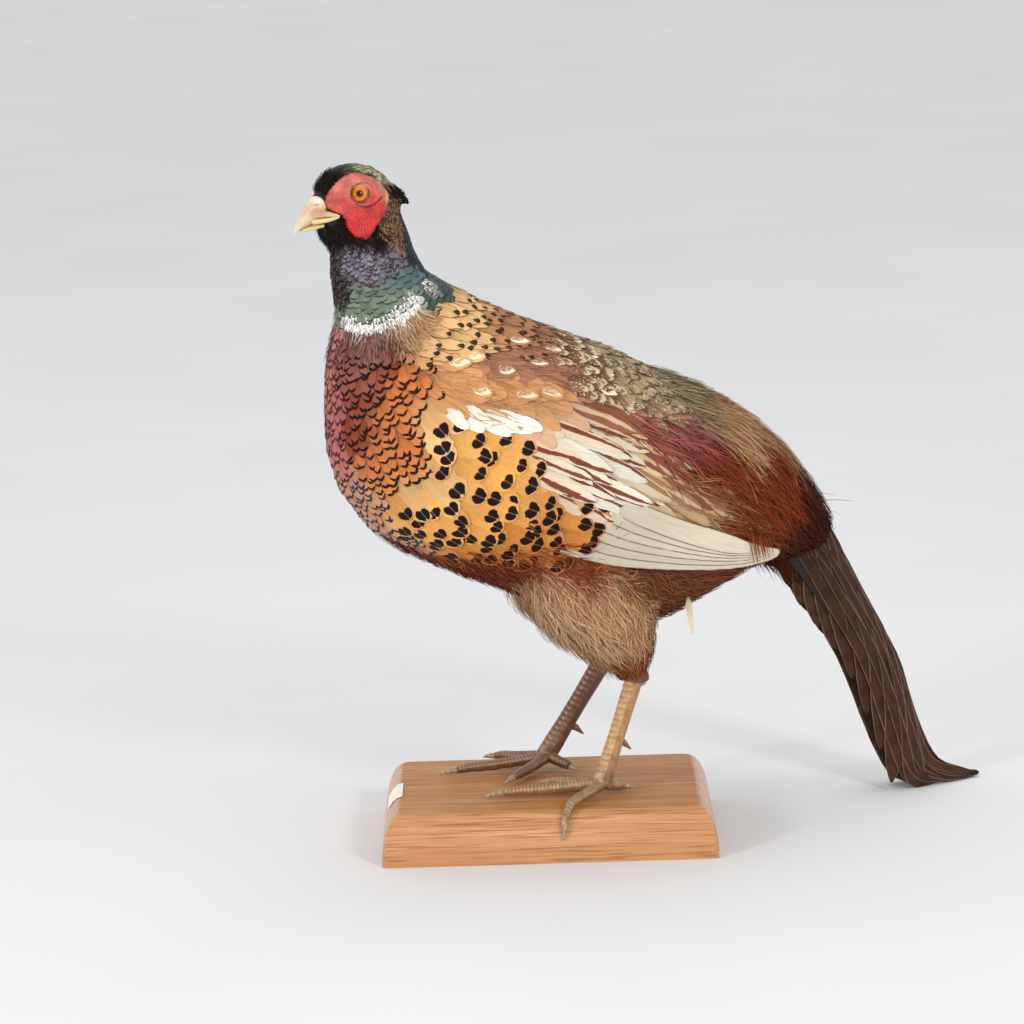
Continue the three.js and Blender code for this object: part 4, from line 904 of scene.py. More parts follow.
tracts = {
    # on the head, in the head's own frame
    "brow": dict(kind="brow", head=True, ground="#1b1613", mark="#2f2820", at=[
        (-33, 0, 402), (-28, 0, 408), (-25, 5, 411), (-31, 5, 404), (-22, 8, 411), (-28, 10, 404), (-36, 0, 398),
        (-34, 7, 399)]),
    "crown": dict(kind="crown", head=True, ground="#2c2f26", mark="#4d4f3e", at=[(-16, 9, 414), (-14, 0, 417), (-20, 4, 414)]),
    "crownGloss": dict(kind="crown", head=True, ground="#b3ab86", mark="#4a4c38", at=[
        (-5, 7, 415), (4, 6, 411), (11, 5, 406), (-2, 0, 416), (8, 0, 410), (8, 11, 406)]),
    "crownHem": dict(kind="crown", head=True, ground="#23221c", mark="#3b3a2e", at=[
        (-8, 13, 412), (0, 14, 409), (6, 15, 404), (-15, 13, 411)]),
    "earTuft": dict(kind="earTuft", head=True, ground="#181512", mark="#2b261e", at=[
        (14, 14, 398), (22, 8, 392), (18, 12, 395), (12, 15, 401)]),
    "chin": dict(kind="chin", head=True, ground="#1c1613", mark="#30241c", at=[
        (-28, 9, 378), (-20, 12, 373), (-30, 0, 375), (-22, 0, 370), (-10, 17, 369), (-22, 10, 385), (0, 18, 370),
        (-22, 14, 382)]),
    "cheek": dict(kind="cheek", head=True, ground="#553a2f", mark="#a98766", at=[
        (7, 17, 376), (10, 18, 370), (9, 15, 386), (12, 13, 391), (12, 16, 378)]),
    "napeTop": dict(kind="nape", head=True, ground="#1f1b22", mark="#101217", at=[
        (18, 0, 400), (22, 0, 386), (22, 6, 386), (20, 12, 380)]),
    # down the neck
    "napeLow": dict(kind="nape", ground="#1b1e25", mark="#0c0f13", at=[
        (-99, 12, 372), (-96, 12, 361), (-91, 12, 353), (-98, 0, 370), (-90, 0, 355)]),
    "purple": dict(kind="fleckedNeck", ground="#756f80", mark="#2e2730", at=[
        (-138, 14, 362), (-127, 19, 362), (-113, 18, 360), (-127, 19, 354), (-137, 14, 354), (-116, 20, 355)]),
    # the throat's near-black is partly its own colour and partly painted shade, where the front of the neck lies in
    # shadow
    "throat": dict(kind="fleckedNeck", ground="#2b232a", mark="#151114", at=[
        (-145, 4, 355), (-144, 4, 343), (-142, 8, 335), (-145, 0, 365), (-142, 9, 348)]),
    "teal": dict(kind="neck", ground="#4f6568", mark="#273337", at=[(-114, 22, 349), (-104, 20, 349), (-97, 17, 348)]),
    "sage": dict(kind="neck", ground="#667461", mark="#263026", at=[
        (-133, 19, 341), (-121, 24, 340), (-110, 25, 341), (-99, 24, 341), (-137, 15, 334), (-143, 6, 330), (-125, 23, 334),
        (-139, 13, 329.5), (-134, 19, 328), (-129, 22, 328), (-124, 25, 329.5), (-118, 27, 332.5), (-112, 27.5, 336),
        (-106, 27, 340), (-100, 25, 343.5)]),
    "ring": dict(kind="ring", ground="#fbf9f6", mark="#e6e0da", at=[
        (-140, 14, 322), (-136, 20, 321), (-131, 23, 321), (-125, 27, 322.5), (-119, 29, 325), (-113, 29, 328),
        (-107, 28.5, 332), (-102, 27, 335)]),
    "ringNape": dict(kind="ring", ground="#f3f0ec", mark="#d8d0c8", at=[(-91, 20, 342)]),
    "flap": dict(kind="neck", ground="#35493f", mark="#1a2722", at=[
        (-84, 17, 342), (-81, 8, 343), (-81, 0, 344), (-90, 25, 335), (-95, 27, 334), (-86, 10, 346), (-88, 16, 346),
        (-94, 23, 339), (-88, 22, 338), (-96, 21, 343), (-93.5, 20, 345.5), (-88.5, 20, 339.5)]),
    "underRing": dict(kind="ruff", ground="#6e3a28", mark="#3a2018", at=[
        (-141, 14, 318), (-136, 21, 317), (-130, 25, 317), (-123, 29, 318.5), (-143, 14, 313)]),
    "ruff": dict(kind="ruff", ground="#b9936a", mark="#7c5334", at=[
        (-112, 34, 321), (-103, 35, 323), (-96, 33, 327), (-116, 31, 321), (-108, 32, 326), (-102, 31, 330)]),
    "ruffDark": dict(kind="ruff", ground="#7b3d28", mark="#43221a", at=[(-124, 31, 317), (-134, 24, 314)]),
    # the body
    "mantle": dict(kind="mantle", ground="#dcae77", mark="#26261f", at=[
        (-88, 30, 328), (-68, 24, 330), (-88, 42, 317), (-75, 46, 312), (-70, 0, 336), (-95, 42, 312)]),
    "mantleLow": dict(kind="mantle", ground="#a9754e", mark="#2c2019", at=[
        (-52, 31, 321), (-35, 34, 314), (-50, 0, 330), (-30, 0, 322), (-40, 44, 309), (-20, 20, 314)]),
    "breast": dict(kind="breast", ground="#772d18", mark="#180d0c", at=[
        (-143, 20, 303), (-141, 32, 284), (-130, 36, 300), (-146, 25, 257)]),
    "breastSide": dict(kind="breast", ground="#be6d3a", mark="#201413", at=[
        (-122, 44, 284), (-124, 47, 264), (-134, 38, 240), (-114, 48, 290), (-119, 50, 246)]),
    "gloss": dict(kind="breast", ground="#b56661", mark="#471f26", at=[(-152, 0, 300), (-154, 0, 270), (-150, 6, 245), (-146, 8, 312)]),
    "blue": dict(kind="breast", ground="#bd8a68", mark="#222c48", at=[(-143, 14, 226), (-134, 6, 204), (-122, 24, 195), (-139, 24, 222)]),
    "flankPale": dict(kind="flank", ground="#dbb378", mark="#1d1518", at=[(-108, 58, 272), (-104, 64, 250), (-114, 55, 232)]),
    "flankGold": dict(kind="flank", ground="#dd9f55", mark="#1d1518", at=[
        (-85, 70, 243), (-62, 72, 224), (-86, 61, 208), (-108, 52, 208), (-122, 44, 214)]),
    "flankRust": dict(kind="flank", ground="#c17c3b", mark="#1b1313", at=[
        (-34, 71, 206), (-8, 69, 193), (-55, 60, 188), (-30, 66, 190), (-90, 44, 188)]),
    "scapular": dict(kind="scapular", ground="#c99161", mark="#f1e8d4", at=[(-92, 60, 292), (-68, 66, 287), (-45, 70, 280), (-28, 71, 278)]),
    "scapularTop": dict(kind="scapular", ground="#a46f5a", mark="#ece0cb", at=[(-64, 58, 301), (-40, 58, 298), (-33, 46, 307), (-16, 60, 291)]),
    "secondary": dict(kind="secondary", ground="#dcd7c4", mark="#7a4030", at=[
        (-32, 77, 254), (-17, 78, 238), (2, 76, 223), (-22, 75, 222), (-30, 77, 240)]),
    "secondaryRear": dict(kind="secondary", ground="#bda079", mark="#9a724e", at=[(25, 76, 214), (55, 72, 206), (75, 66, 200)]),
    "covert": dict(kind="secondary", ground="#87503d", mark="#c9b08a", at=[(-7, 72, 268), (17, 74, 250), (40, 73, 232)]),
    "backMarks": dict(kind="back", ground="#6d4a3a", mark="#c0b08e", at=[(-14, 48, 301), (6, 50, 291), (-12, 30, 309), (0, 60, 282)]),
    "back": dict(kind="back", ground="#9f8667", mark="#55483a", at=[
        (22, 37, 291), (38, 34, 284), (34, 56, 270), (22, 56, 277), (0, 0, 309), (40, 0, 294), (48, 50, 264)]),
    "backLow": dict(kind="rump", ground="#978462", mark="#c9b98f", at=[(62, 37, 272), (72, 46, 256), (78, 0, 273), (72, 30, 268)]),
    "maroon": dict(kind="rump", ground="#a45553", mark="#6c3439", at=[(48, 65, 250), (60, 64, 245), (54, 69, 238)]),
    "rumpTop": dict(kind="rump", ground="#ba8c60", mark="#f7d7ad", at=[(95, 30, 250), (114, 0, 250), (100, 43, 238), (140, 0, 226)]),
    "rumpRust": dict(kind="rump", ground="#7f3517", mark="#98481f", at=[
        (85, 62, 218), (70, 67, 222), (99, 58, 200), (118, 42, 212), (130, 38, 195), (78, 66, 206)]),
    "rumpEnd": dict(kind="rump", ground="#421b0d", mark="#562612", at=[(148, 27, 190), (139, 31, 172), (160, 0, 200), (165, 15, 185)]),
    "belly": dict(kind="belly", ground="#8b4229", mark="#542616", at=[
        (-108, 0, 188), (-90, 0, 173), (-67, 24, 164), (-50, 45, 170), (-20, 58, 172), (-40, 0, 152)]),
    "vent": dict(kind="belly", ground="#7d492e", mark="#a16d4a", at=[
        (30, 64, 168), (47, 58, 160), (79, 50, 160), (60, 0, 124), (100, 0, 150), (20, 0, 140), (60, 40, 145), (110, 30, 158)]),
    "thighHem": dict(kind="fluff", ground="#c9a681", mark="#a88560", at=[
        (-41, 45, 149), (-33, 49, 139), (-20, 56, 132), (-8, 52, 121)]),
    "thigh": dict(kind="thigh", ground="#c99d74", mark="#a9835c", at=[
        (-40, 50, 150), (-19, 60, 137), (3, 62, 140), (21, 56, 122), (-31, 56, 157)]),
    "thighLow": dict(kind="thigh", ground="#985936", mark="#68381f", at=[(22, 44, 108), (26, 36, 98), (18, 45, 103)]),
}


def softnessAt(places):
    # tracts meet sharply on the head and round the white ring, gently on the body and the neck
    soft = np.interp(places[:, 2], [313, 316, 334, 342, 360, 370], [5.0, 0.8, 0.8, 2.2, 2.2, 0.8])
    onBreast = np.clip((-118 - places[:, 0]) / 15, 0, 1) * np.clip((313 - places[:, 2]) / 10, 0, 1)
    return soft + 8 * onBreast


def plumageAt(places):
    # the tract that each place belongs to, and the colours there
    names = list(tracts)
    far = np.empty((len(names), len(places)))
    mirrored = places * (1, 0, 1) + np.abs(places) * (0, 1, 0)
    headPlaces = birdToHead(places)
    headPlaces[:, 1] = np.abs(headPlaces[:, 1])
    for i, name in enumerate(names):
        seen = headPlaces if tracts[name].get("head") else mirrored
        far[i] = np.min([np.linalg.norm(seen - point, axis=1) for point in tracts[name]["at"]], axis=0)
    nearest = far.min(0)
    share = np.exp(-(far - nearest) / softnessAt(places) * 1.6)
    share /= share.sum(0)
    ground = share.T @ np.array([linear(tracts[n]["ground"]) for n in names])
    waver = rng.normal(0, 1, far.shape) * softnessAt(places) * 0.16
    tract = np.argmin(far + waver, axis=0)
    own = np.array([linear(tracts[n]["ground"]) for n in names])[tract]
    mark = np.array([linear(tracts[n]["mark"]) for n in names])[tract]
    return tract, ground * 0.65 + own * 0.35, mark


def skinMaterial():
    # dry tanned skin with down on it, the colour of the feathers over it, dull
    material, tree, shader = newMaterial("skin_and_down", Roughness=0.85)
    ground = add(tree, "Attribute", {"attribute_name": "ground"}, out="Color")
    spot = add(tree, "TexCoord", out="Object")
    down = add(tree, "TexNoise", Vector=spot, Scale=900.0, Detail=4.0)
    shade = add(tree, "MapRange", Value=down, To_Min=0.35, To_Max=0.8)
    tone = add(tree, "HueSaturation", Saturation=0.95, Value=shade, Color=ground)
    tree.links.new(tone, shader.inputs["Base Color"])
    bump = add(tree, "Bump", Strength=0.5, Distance=0.0006, Height=down)
    tree.links.new(bump, shader.inputs["Normal"])
    return material


_, skinGround, _ = plumageAt(toBird(skinAt))
putAttribute(skin.data, "ground", "FLOAT_COLOR", skinGround)
finish(skin, skinMaterial(), fleshNodes)

# ---- feather kinds: sizes in millimetres. half is half the width, gap the space between roots,
# lift how high the tip stands, strands more than 1 for tufts, taper where the tip begins to narrow.
kinds = {
    "brow": dict(length=7.5, half=0.34, gap=1.5, lift=2.8, strands=4, fan=30, slot="head_feathers", taper=0.3),
    "crown": dict(length=8, half=0.55, gap=1.4, lift=0.8, strands=2, fan=7, slot="head_feathers", taper=0.5),
    "earTuft": dict(length=8, half=0.55, gap=1.5, lift=1.3, strands=2, fan=10, slot="head_feathers", taper=0.5),
    "chin": dict(length=7.5, half=0.4, gap=1.6, lift=2.6, strands=4, fan=30, slot="head_feathers", taper=0.3),
    "cheek": dict(length=6, half=0.45, gap=1.5, lift=1.4, strands=4, fan=22, slot="head_feathers", taper=0.4),
    "nape": dict(length=7, half=1.1, gap=1.6, lift=0.8, slot="head_feathers", taper=0.5, sides=4, fan=7),
    "fleckedNeck": dict(length=6.5, half=1.8, gap=2.1, lift=1.1, slot="head_feathers", taper=0.55, sides=4, fan=16, varied=0.42),
    "neck": dict(length=9, half=3.2, gap=3.1, lift=0.9, slot="head_feathers", taper=0.62, fan=8, varied=0.24),
    "ring": dict(length=4.3, half=0.55, gap=1.3, lift=1.3, strands=3, fan=13, slot="head_feathers", taper=0.4),
    "ruff": dict(length=12, half=0.42, gap=2.4, lift=2.6, strands=4, fan=16, slot="body_feathers", taper=0.3),
    "mantle": dict(length=19, half=5.0, gap=6.2, lift=1.8, slot="body_feathers", taper=0.55, fan=5),
    "breast": dict(length=13, half=3.6, gap=4.1, lift=1.3, slot="body_feathers", taper=0.6, fan=7),
    "flank": dict(length=31, half=7.4, gap=8.8, lift=1.5, slot="body_feathers", taper=0.76, fan=6),
    "scapular": dict(length=28, half=6.6, gap=8.0, lift=1.4, slot="wing_feathers", taper=0.45, fan=10),
    "crescent": dict(length=24, half=5.2, gap=5.0, lift=2.3, slot="wing_feathers", taper=0.5, fan=9),
    "bar": dict(length=27, half=3.9, gap=4.0, lift=2.0, slot="wing_feathers", taper=0.5, fan=2, stiff=0.8),
    "secondary": dict(length=62, half=4.4, gap=8.0, lift=2.2, slot="wing_feathers", taper=0.6, fan=3, stiff=0.6),
    "back": dict(length=22, half=4.0, gap=5.2, lift=2.6, slot="body_feathers", taper=0.5, fan=12),
    "rump": dict(length=34, half=0.42, gap=4.1, lift=5.2, strands=7, fan=15, slot="body_feathers", taper=0.25, varied=0.45),
    "belly": dict(length=19, half=0.4, gap=4.0, lift=3.6, strands=6, fan=24, slot="body_feathers", taper=0.25),
    "thigh": dict(length=16, half=0.33, gap=3.2, lift=3.4, strands=6, fan=20, slot="body_feathers", taper=0.25),
    "fluff": dict(length=25, half=0.34, gap=3.2, lift=7, strands=6, fan=18, slot="body_feathers", taper=0.25),
    "wisp": dict(length=14, half=0.2, gap=3.4, lift=0.9, strands=1, fan=10, slot="body_feathers", taper=0.3, sides=4, sunk=0.9),
}


def scatter(count):
    # random places all over the skin, evenly by area but closer on the head and neck
    skin.data.calc_loop_triangles()
    corners = np.empty(len(skin.data.loop_triangles) * 3, int)
    skin.data.loop_triangles.foreach_get("vertices", corners)
    a, b, c = (skinAt[corners.reshape(-1, 3)[:, i]] for i in range(3))
    area = np.linalg.norm(np.cross(b - a, c - a), axis=1) * np.where(a[:, 2] > 0.31, 6, 1)
    pick = rng.choice(len(area), count, p=area / area.sum())
    r = np.sqrt(rng.random(count))[:, None]
    s = rng.random(count)[:, None]
    return a[pick] * (1 - r) + b[pick] * r * (1 - s) + c[pick] * r * s


def isBare(point):
    for tree in bareTrees:
        if tree.find_nearest(point, 0.9 * mm)[0] is not None:
            return True
    return False


def unwrapOf(places):
    # where a root lies on the skin unwrapped round the body's long axis
    x, y, z = np.moveaxis(toBird(places), -1, 0)
    along = np.clip((x - 0.9 * (z - 300) + 330) / 700, 0, 1)
    middle = np.interp(x, [-150, -110, -40, 60, 170], [330, 300, 240, 205, 175])
    round_ = np.arctan2(y, z - middle + 1e-6) / (2 * math.pi)
    return np.stack([0.02 + 0.96 * (round_ + 0.5), 0.02 + 0.96 * along], -1)


bakePatch = 0.003


def stationsOf(steps):
    return 1 - (1 - np.linspace(0, 1, steps + 1)) ** 1.5


def runAlong(roots, facing, length, yaw, stations, stiff):
    # walks over the skin from each root, the way the feathers lie
    line, up, way = [roots], [facing], []
    first = None
    for k in range(len(stations)):
        here = line[-1]
        lieHere = directionToWorld(feathersPoint(toBird(here)))
        flat = unit(lieHere - np.sum(lieHere * up[-1], -1, keepdims=True) * up[-1])
        turned = flat * np.cos(yaw)[:, None] + np.cross(up[-1], flat) * np.sin(yaw)[:, None]
        first = turned if first is None else first
        turned = unit(turned * (1 - stiff) + first * stiff)
        turned = unit(turned - np.sum(turned * up[-1], -1, keepdims=True) * up[-1])
        way.append(turned)
        if k + 1 < len(stations):
            step = (stations[k + 1] - stations[k]) * length[:, None] * mm
            there, facingThere = ontoSkin(here + turned * step)
            line.append(there)
            up.append(unit(facingThere + up[-1]))
    return np.stack(line, 1), np.stack(up, 1), np.stack(way, 1)


def markRims(mesh, count, rows, size):
    # the thin edge between a vane's upper and under side stays sharp
    ends = np.empty(len(mesh.edges) * 2, int)
    mesh.edges.foreach_get("vertices", ends)
    spot = ends.reshape(-1, 2) % (rows * size) % size
    rim = (spot[:, 0] == spot[:, 1]) & ((spot[:, 0] == 0) | (spot[:, 0] == size - 2))
    mesh.attributes.new("sharp_edge", "BOOLEAN", "EDGE").data.foreach_set("value", rim)


def featherMesh(name, line, up, way, half, lift, profile, colours, rootUv, top=5, hug=None, cup=0.08, thick=0.15):
    # closed vanes along the given lines; top is how many points cross the upper face, hug the surface they lie on
    count, rows = line.shape[:2]
    stations = profile["stations"]
    across = np.linspace(-1, 1, top)
    side = np.cross(up, way)
    tip = np.clip((stations - profile["taper"]) / (1 - profile["taper"]), 0, 1)
    base = np.clip(stations / 0.3, 0, 1)
    outline = (0.35 + 0.65 * base * (2 - base)) * (1 - tip ** profile["round"]) ** (1 / profile["round"])
    outline = np.maximum(outline, profile["point"])
    ragged = 1 + rng.normal(0, profile["ragged"], (count, rows, 2))
    reach = outline[None, :, None] * half[:, None, None] * mm
    share = np.where(across[None, None, :] < 0, ragged[:, :, :1], ragged[:, :, 1:])
    points = line[:, :, None, :] + side[:, :, None, :] * (across * reach * share)[..., None]
    normals = np.repeat(up[:, :, None, :], top, 2)
    if hug:
        flat, facing = hug(points.reshape(-1, 3))
        points = flat.reshape(points.shape)
        normals = unit(facing.reshape(points.shape) * 0.6 + normals * 0.4)
    rise = profile["sunk"] + lift[:, None] * (stations ** profile["rise"])[None, :]
    height = rise[:, :, None] - cup * (across ** 2) * reach / mm * 0.5
    points = points + normals * height[..., None] * mm
    under = line + up * (rise - thick - cup * 0.3 * reach[:, :, 0] / mm)[..., None] * mm
    ring = np.concatenate([points, under[:, :, None, :]], 2)
    size = top + 1
    r = np.arange(size)
    quads = []
    for k in range(rows - 1):
        quads.append(np.stack([k * size + r, (k + 1) * size + r, (k + 1) * size + (r + 1) % size, k * size + (r + 1) % size], 1))
    i = np.arange(size // 2 - 1)
    startCap = np.stack([i, i + 1, size - 2 - i, size - 1 - i], 1)
    quads.append(startCap)
    quads.append(startCap[:, ::-1] + (rows - 1) * size)
    quads = np.concatenate(quads)
    faces = (quads[None] + np.arange(count)[:, None, None] * rows * size).reshape(-1, 4)
    mesh = bpy.data.meshes.new(name)
    mesh.from_pydata(ring.reshape(-1, 3), [], faces)
    mesh.shade_smooth()
    markRims(mesh, count, rows, size)
    vaneAcross = np.append((across + 1) / 2, 0.5)
    vane = np.stack(np.broadcast_arrays(vaneAcross[None, None, :], stations[None, :, None]), -1)
    vane = np.broadcast_to(vane, (count, rows, size, 2))
    corner = faces.ravel()
    bake = rootUv[:, None, None, :] + (vane - 0.5) * bakePatch
    mesh.uv_layers.new(name="vane").data.foreach_set("uv", vane.reshape(-1, 2)[corner].ravel())
    mesh.uv_layers.new(name="OFBake").data.foreach_set("uv", bake.reshape(-1, 2)[corner].ravel())
    each = rows * size
    putAttribute(mesh, "ground", "FLOAT_COLOR", np.repeat(colours["ground"], each, 0))
    putAttribute(mesh, "mark", "FLOAT_COLOR", np.repeat(colours["mark"], each, 0))
    putAttribute(mesh, "chance", "FLOAT", np.repeat(rng.random(count), each))
    piece = bpy.data.objects.new(name, mesh)
    bpy.context.scene.collection.objects.link(piece)
    return piece


# What is drawn on a feather's vane. start: how far along the mark begins; spread: how much earlier it begins
# at the edges; jag: how far the mark follows single barbs; rim: where a thin edge of the mark's colour begins;
# spot: a two-lobed spot (off the shaft, width, place along, height);
# streak: a long stripe beside the shaft; fleck: how many small pale flecks across and along.
looks = {
    "brow": dict(rough=0.75, start=0.6, soft=0.3, barbs=5),
    "crown": dict(rough=0.4, start=0.6, soft=0.25, barbs=5, gloss=0.3),
    "earTuft": dict(rough=0.6, start=0.75, soft=0.2, barbs=5),
    "chin": dict(rough=0.7, start=0.7, soft=0.3, barbs=5),
    "cheek": dict(rough=0.6, start=0.6, soft=0.3, barbs=6, wobble=0.6),
    "nape": dict(rough=0.45, start=0.8, spread=0.1, soft=0.2, barbs=8, gloss=0.25),
    "fleckedNeck": dict(rough=0.5, start=0.74, spread=0.12, soft=0.16, barbs=7, wobble=0.4, fleck=(1.2, 1.8, 0.58), pale="#a8957c"),
    "neck": dict(rough=0.45, start=0.9, spread=0.06, soft=0.08, barbs=10, jag=0.05, gloss=0.25),
    "ring": dict(rough=0.7, start=0.9, soft=0.3, barbs=6),
    "ruff": dict(rough=0.75, start=0.7, soft=0.3, barbs=6),
    "mantle": dict(rough=0.55, start=0.78, spread=-0.2, soft=0.03, barbs=16, jag=0.04, rim=0.8),
    "breast": dict(rough=0.5, start=0.885, spread=0.14, soft=0.04, barbs=14, jag=0.04, rim=0.9),
    "flank": dict(rough=0.5, barbs=34, jag=0.05, spot=(0.3, 0.45, 0.88, 0.12)),
    "scapular": dict(rough=0.55, barbs=26, wobble=0.3),
    "crescent": dict(rough=0.55, barbs=22, jag=0.05, crescent=True),
    "bar": dict(rough=0.6, start=0.9, soft=0.3, barbs=30),
    "secondary": dict(rough=0.55, barbs=46, streak=(0.2, 0.9)),
    "back": dict(rough=0.6, start=0.84, spread=0.1, soft=0.1, barbs=20, wobble=0.5, fleck=(1.2, 3.0, 0.56), pale="#d9cda8"),
    "rump": dict(rough=0.55, start=0.75, soft=0.3, barbs=6),
    "belly": dict(rough=0.7, start=0.7, soft=0.3, barbs=6),
    "thigh": dict(rough=0.75, start=0.75, soft=0.3, barbs=6),
    "fluff": dict(rough=0.75, start=0.75, soft=0.3, barbs=6),
    "wisp": dict(rough=0.6, start=0.95, soft=0.3, barbs=6),
    "primary": dict(rough=0.45, barbs=70, rim=0.86, gloss=0.2),
    "tail": dict(rough=0.5, barbs=60, rim=0.86, bars=8, barring=0.35, shaft=0.3, gloss=0.12),
}


def featherMaterial(name, look):
    # keratin barbs lying side by side: a soft dull vane, ribbed along the barbs, with a finer shaft down the middle
    material, tree, shader = newMaterial(name, Roughness=look["rough"], Specular_IOR_Level=look.get("gloss", 0.07))
    vane = add(tree, "UVMap", {"uv_map": "vane"})
    u = add(tree, "SeparateXYZ", out="X", Vector=vane)
    v = u.node.outputs["Y"]
    ground = add(tree, "Attribute", {"attribute_name": "ground"}, out="Color")
    mark = add(tree, "Attribute", {"attribute_name": "mark"}, out="Color")
    chance = add(tree, "Attribute", {"attribute_name": "chance"}, out="Fac")

    def maths(kind, *feeds):
        return add(tree, "Math", {"operation": kind}, **{f"i{n}": feed for n, feed in enumerate(feeds)})

    def smooth(value, low, high, start=0.0, end=1.0):
        return add(tree, "MapRange", {"interpolation_type": "SMOOTHSTEP"}, Value=value, From_Min=low, From_Max=high,
                   To_Min=start, To_Max=end)

    centred = maths("MULTIPLY_ADD", u, 2.0, -1.0)
    across = maths("ABSOLUTE", centred)
    drift = maths("MULTIPLY", chance, 57.0)
    lean = maths("MULTIPLY_ADD", across, -0.3, v)
    along = maths("MULTIPLY", lean, float(look["barbs"]))
    barbPlace = add(tree, "CombineXYZ", X=along, Y=centred, Z=drift)
    hair = add(tree, "TexNoise", Vector=barbPlace, Scale=1.0, Detail=2.0, Roughness=0.6)
    place = add(tree, "CombineXYZ", X=u, Y=v, Z=drift)
    cloud = add(tree, "TexNoise", Vector=place, Scale=4.0, Detail=3.0, Roughness=0.6)
    waver = maths("MULTIPLY_ADD", cloud, look.get("wobble", 0.1), -look.get("wobble", 0.1) / 2)
    jag = maths("MULTIPLY_ADD", hair, look.get("jag", 0.0), waver)
    tone = ground
    if "start" in look:
        spread = maths("MULTIPLY_ADD", across, look.get("spread", 0.0), v)
        reach = maths("ADD", spread, jag)
        mask = smooth(reach, look["start"], look["start"] + look["soft"])
        tone = add(tree, "MixRGB", Fac=mask, Color1=tone, Color2=mark)
    if "spot" in look:
        off, wide, middle, high = look["spot"]
        x = maths("MULTIPLY_ADD", across, 1 / wide, -off / wide)
        y = maths("MULTIPLY_ADD", maths("ADD", v, jag), 1 / high, -middle / high)
        far = add(tree, "VectorMath", {"operation": "LENGTH"}, out="Value", i0=add(tree, "CombineXYZ", X=x, Y=y))
        mask = smooth(far, 1.0, 0.88)
        tone = add(tree, "MixRGB", Fac=mask, Color1=tone, Color2=mark)
    if "crescent" in look:
        # a pale crescent round a finely hatched middle
        y = maths("ADD", v, jag)
        outerPlace = add(tree, "CombineXYZ", X=maths("MULTIPLY", centred, 1.7), Y=maths("MULTIPLY_ADD", y, 4.0, -2.9))
        innerPlace = add(tree, "CombineXYZ", X=maths("MULTIPLY_ADD", centred, 2.1, -0.5), Y=maths("MULTIPLY_ADD", y, 5, -3.3))
        outer = smooth(add(tree, "VectorMath", {"operation": "LENGTH"}, out="Value", i0=outerPlace), 1.0, 0.92)
        inner = smooth(add(tree, "VectorMath", {"operation": "LENGTH"}, out="Value", i0=innerPlace), 0.92, 1.02)
        hatch = smooth(hair, 0.5, 0.56, 0.0, 0.8)
        tone = add(tree, "MixRGB", Fac=maths("MULTIPLY", outer, maths("MAXIMUM", inner, hatch)), Color1=tone, Color2=mark)
    if "streak" in look:
        shifted = maths("MULTIPLY_ADD", chance, 1.7, centred)
        beside = maths("MULTIPLY_ADD", cloud, 1.1, shifted)
        low, high = look["streak"]
        mask = maths("MULTIPLY", smooth(beside, low + 0.9, low + 1.05), smooth(beside, high + 1.0, high + 0.9))
        tone = add(tree, "MixRGB", Fac=mask, Color1=tone, Color2=mark)
    if "fleck" in look:
        scaled = add(tree, "Mapping", Vector=place, Scale=(look["fleck"][0], look["fleck"][1], 1.0))
        spots = add(tree, "TexNoise", Vector=scaled, Scale=4.0, Detail=3.0, Roughness=0.7)
        tone = add(tree, "MixRGB", Fac=smooth(spots, look["fleck"][2], look["fleck"][2] + 0.08), Color1=tone, Color2=linear(look["pale"]))
    if "bars" in look:
        wave = maths("SINE", maths("MULTIPLY_ADD", v, look["bars"] * 2 * math.pi, cloud))
        tone = add(tree, "MixRGB", Fac=smooth(wave, 0.3, 0.8, 0.0, look["barring"]), Color1=tone, Color2=linear("#1f120c"))
    if "rim" in look:
        edge = maths("MULTIPLY", smooth(across, look["rim"], 1.0), smooth(hair, 0.3, 0.5))
        tone = add(tree, "MixRGB", Fac=edge, Color1=tone, Color2=mark)
    shaft = smooth(across, 0.09, 0.02)
    faint = maths("MULTIPLY", shaft, look.get("shaft", 0.2))
    tone = add(tree, "MixRGB", {"blend_type": "SCREEN"}, Fac=faint, Color1=tone, Color2=ground)
    lit = maths("MULTIPLY_ADD", hair, 0.45, 0.58)
    mottled = maths("MULTIPLY_ADD", cloud, 0.3, lit)
    varied = maths("MULTIPLY_ADD", chance, 0.1, mottled)
    # each vane is painted darker towards its root: partly its duller downy base, partly painted shade under the
    # feathers that lie over it
    rooted = add(tree, "MapRange", Value=v, From_Min=0.1, From_Max=0.7, To_Min=look.get("root", 0.72), To_Max=1.0)
    final = add(tree, "HueSaturation", Value=maths("MULTIPLY", varied, rooted), Color=tone)
    tree.links.new(final, shader.inputs["Base Color"])
    ridge = maths("MULTIPLY_ADD", shaft, 0.8, hair)
    bump = add(tree, "Bump", Strength=0.5, Distance=0.00025, Height=ridge)
    tree.links.new(bump, shader.inputs["Normal"])
    return material


def flatColours(count, ground, mark):
    return dict(ground=np.repeat([linear(ground)], count, 0), mark=np.repeat([linear(mark)], count, 0))


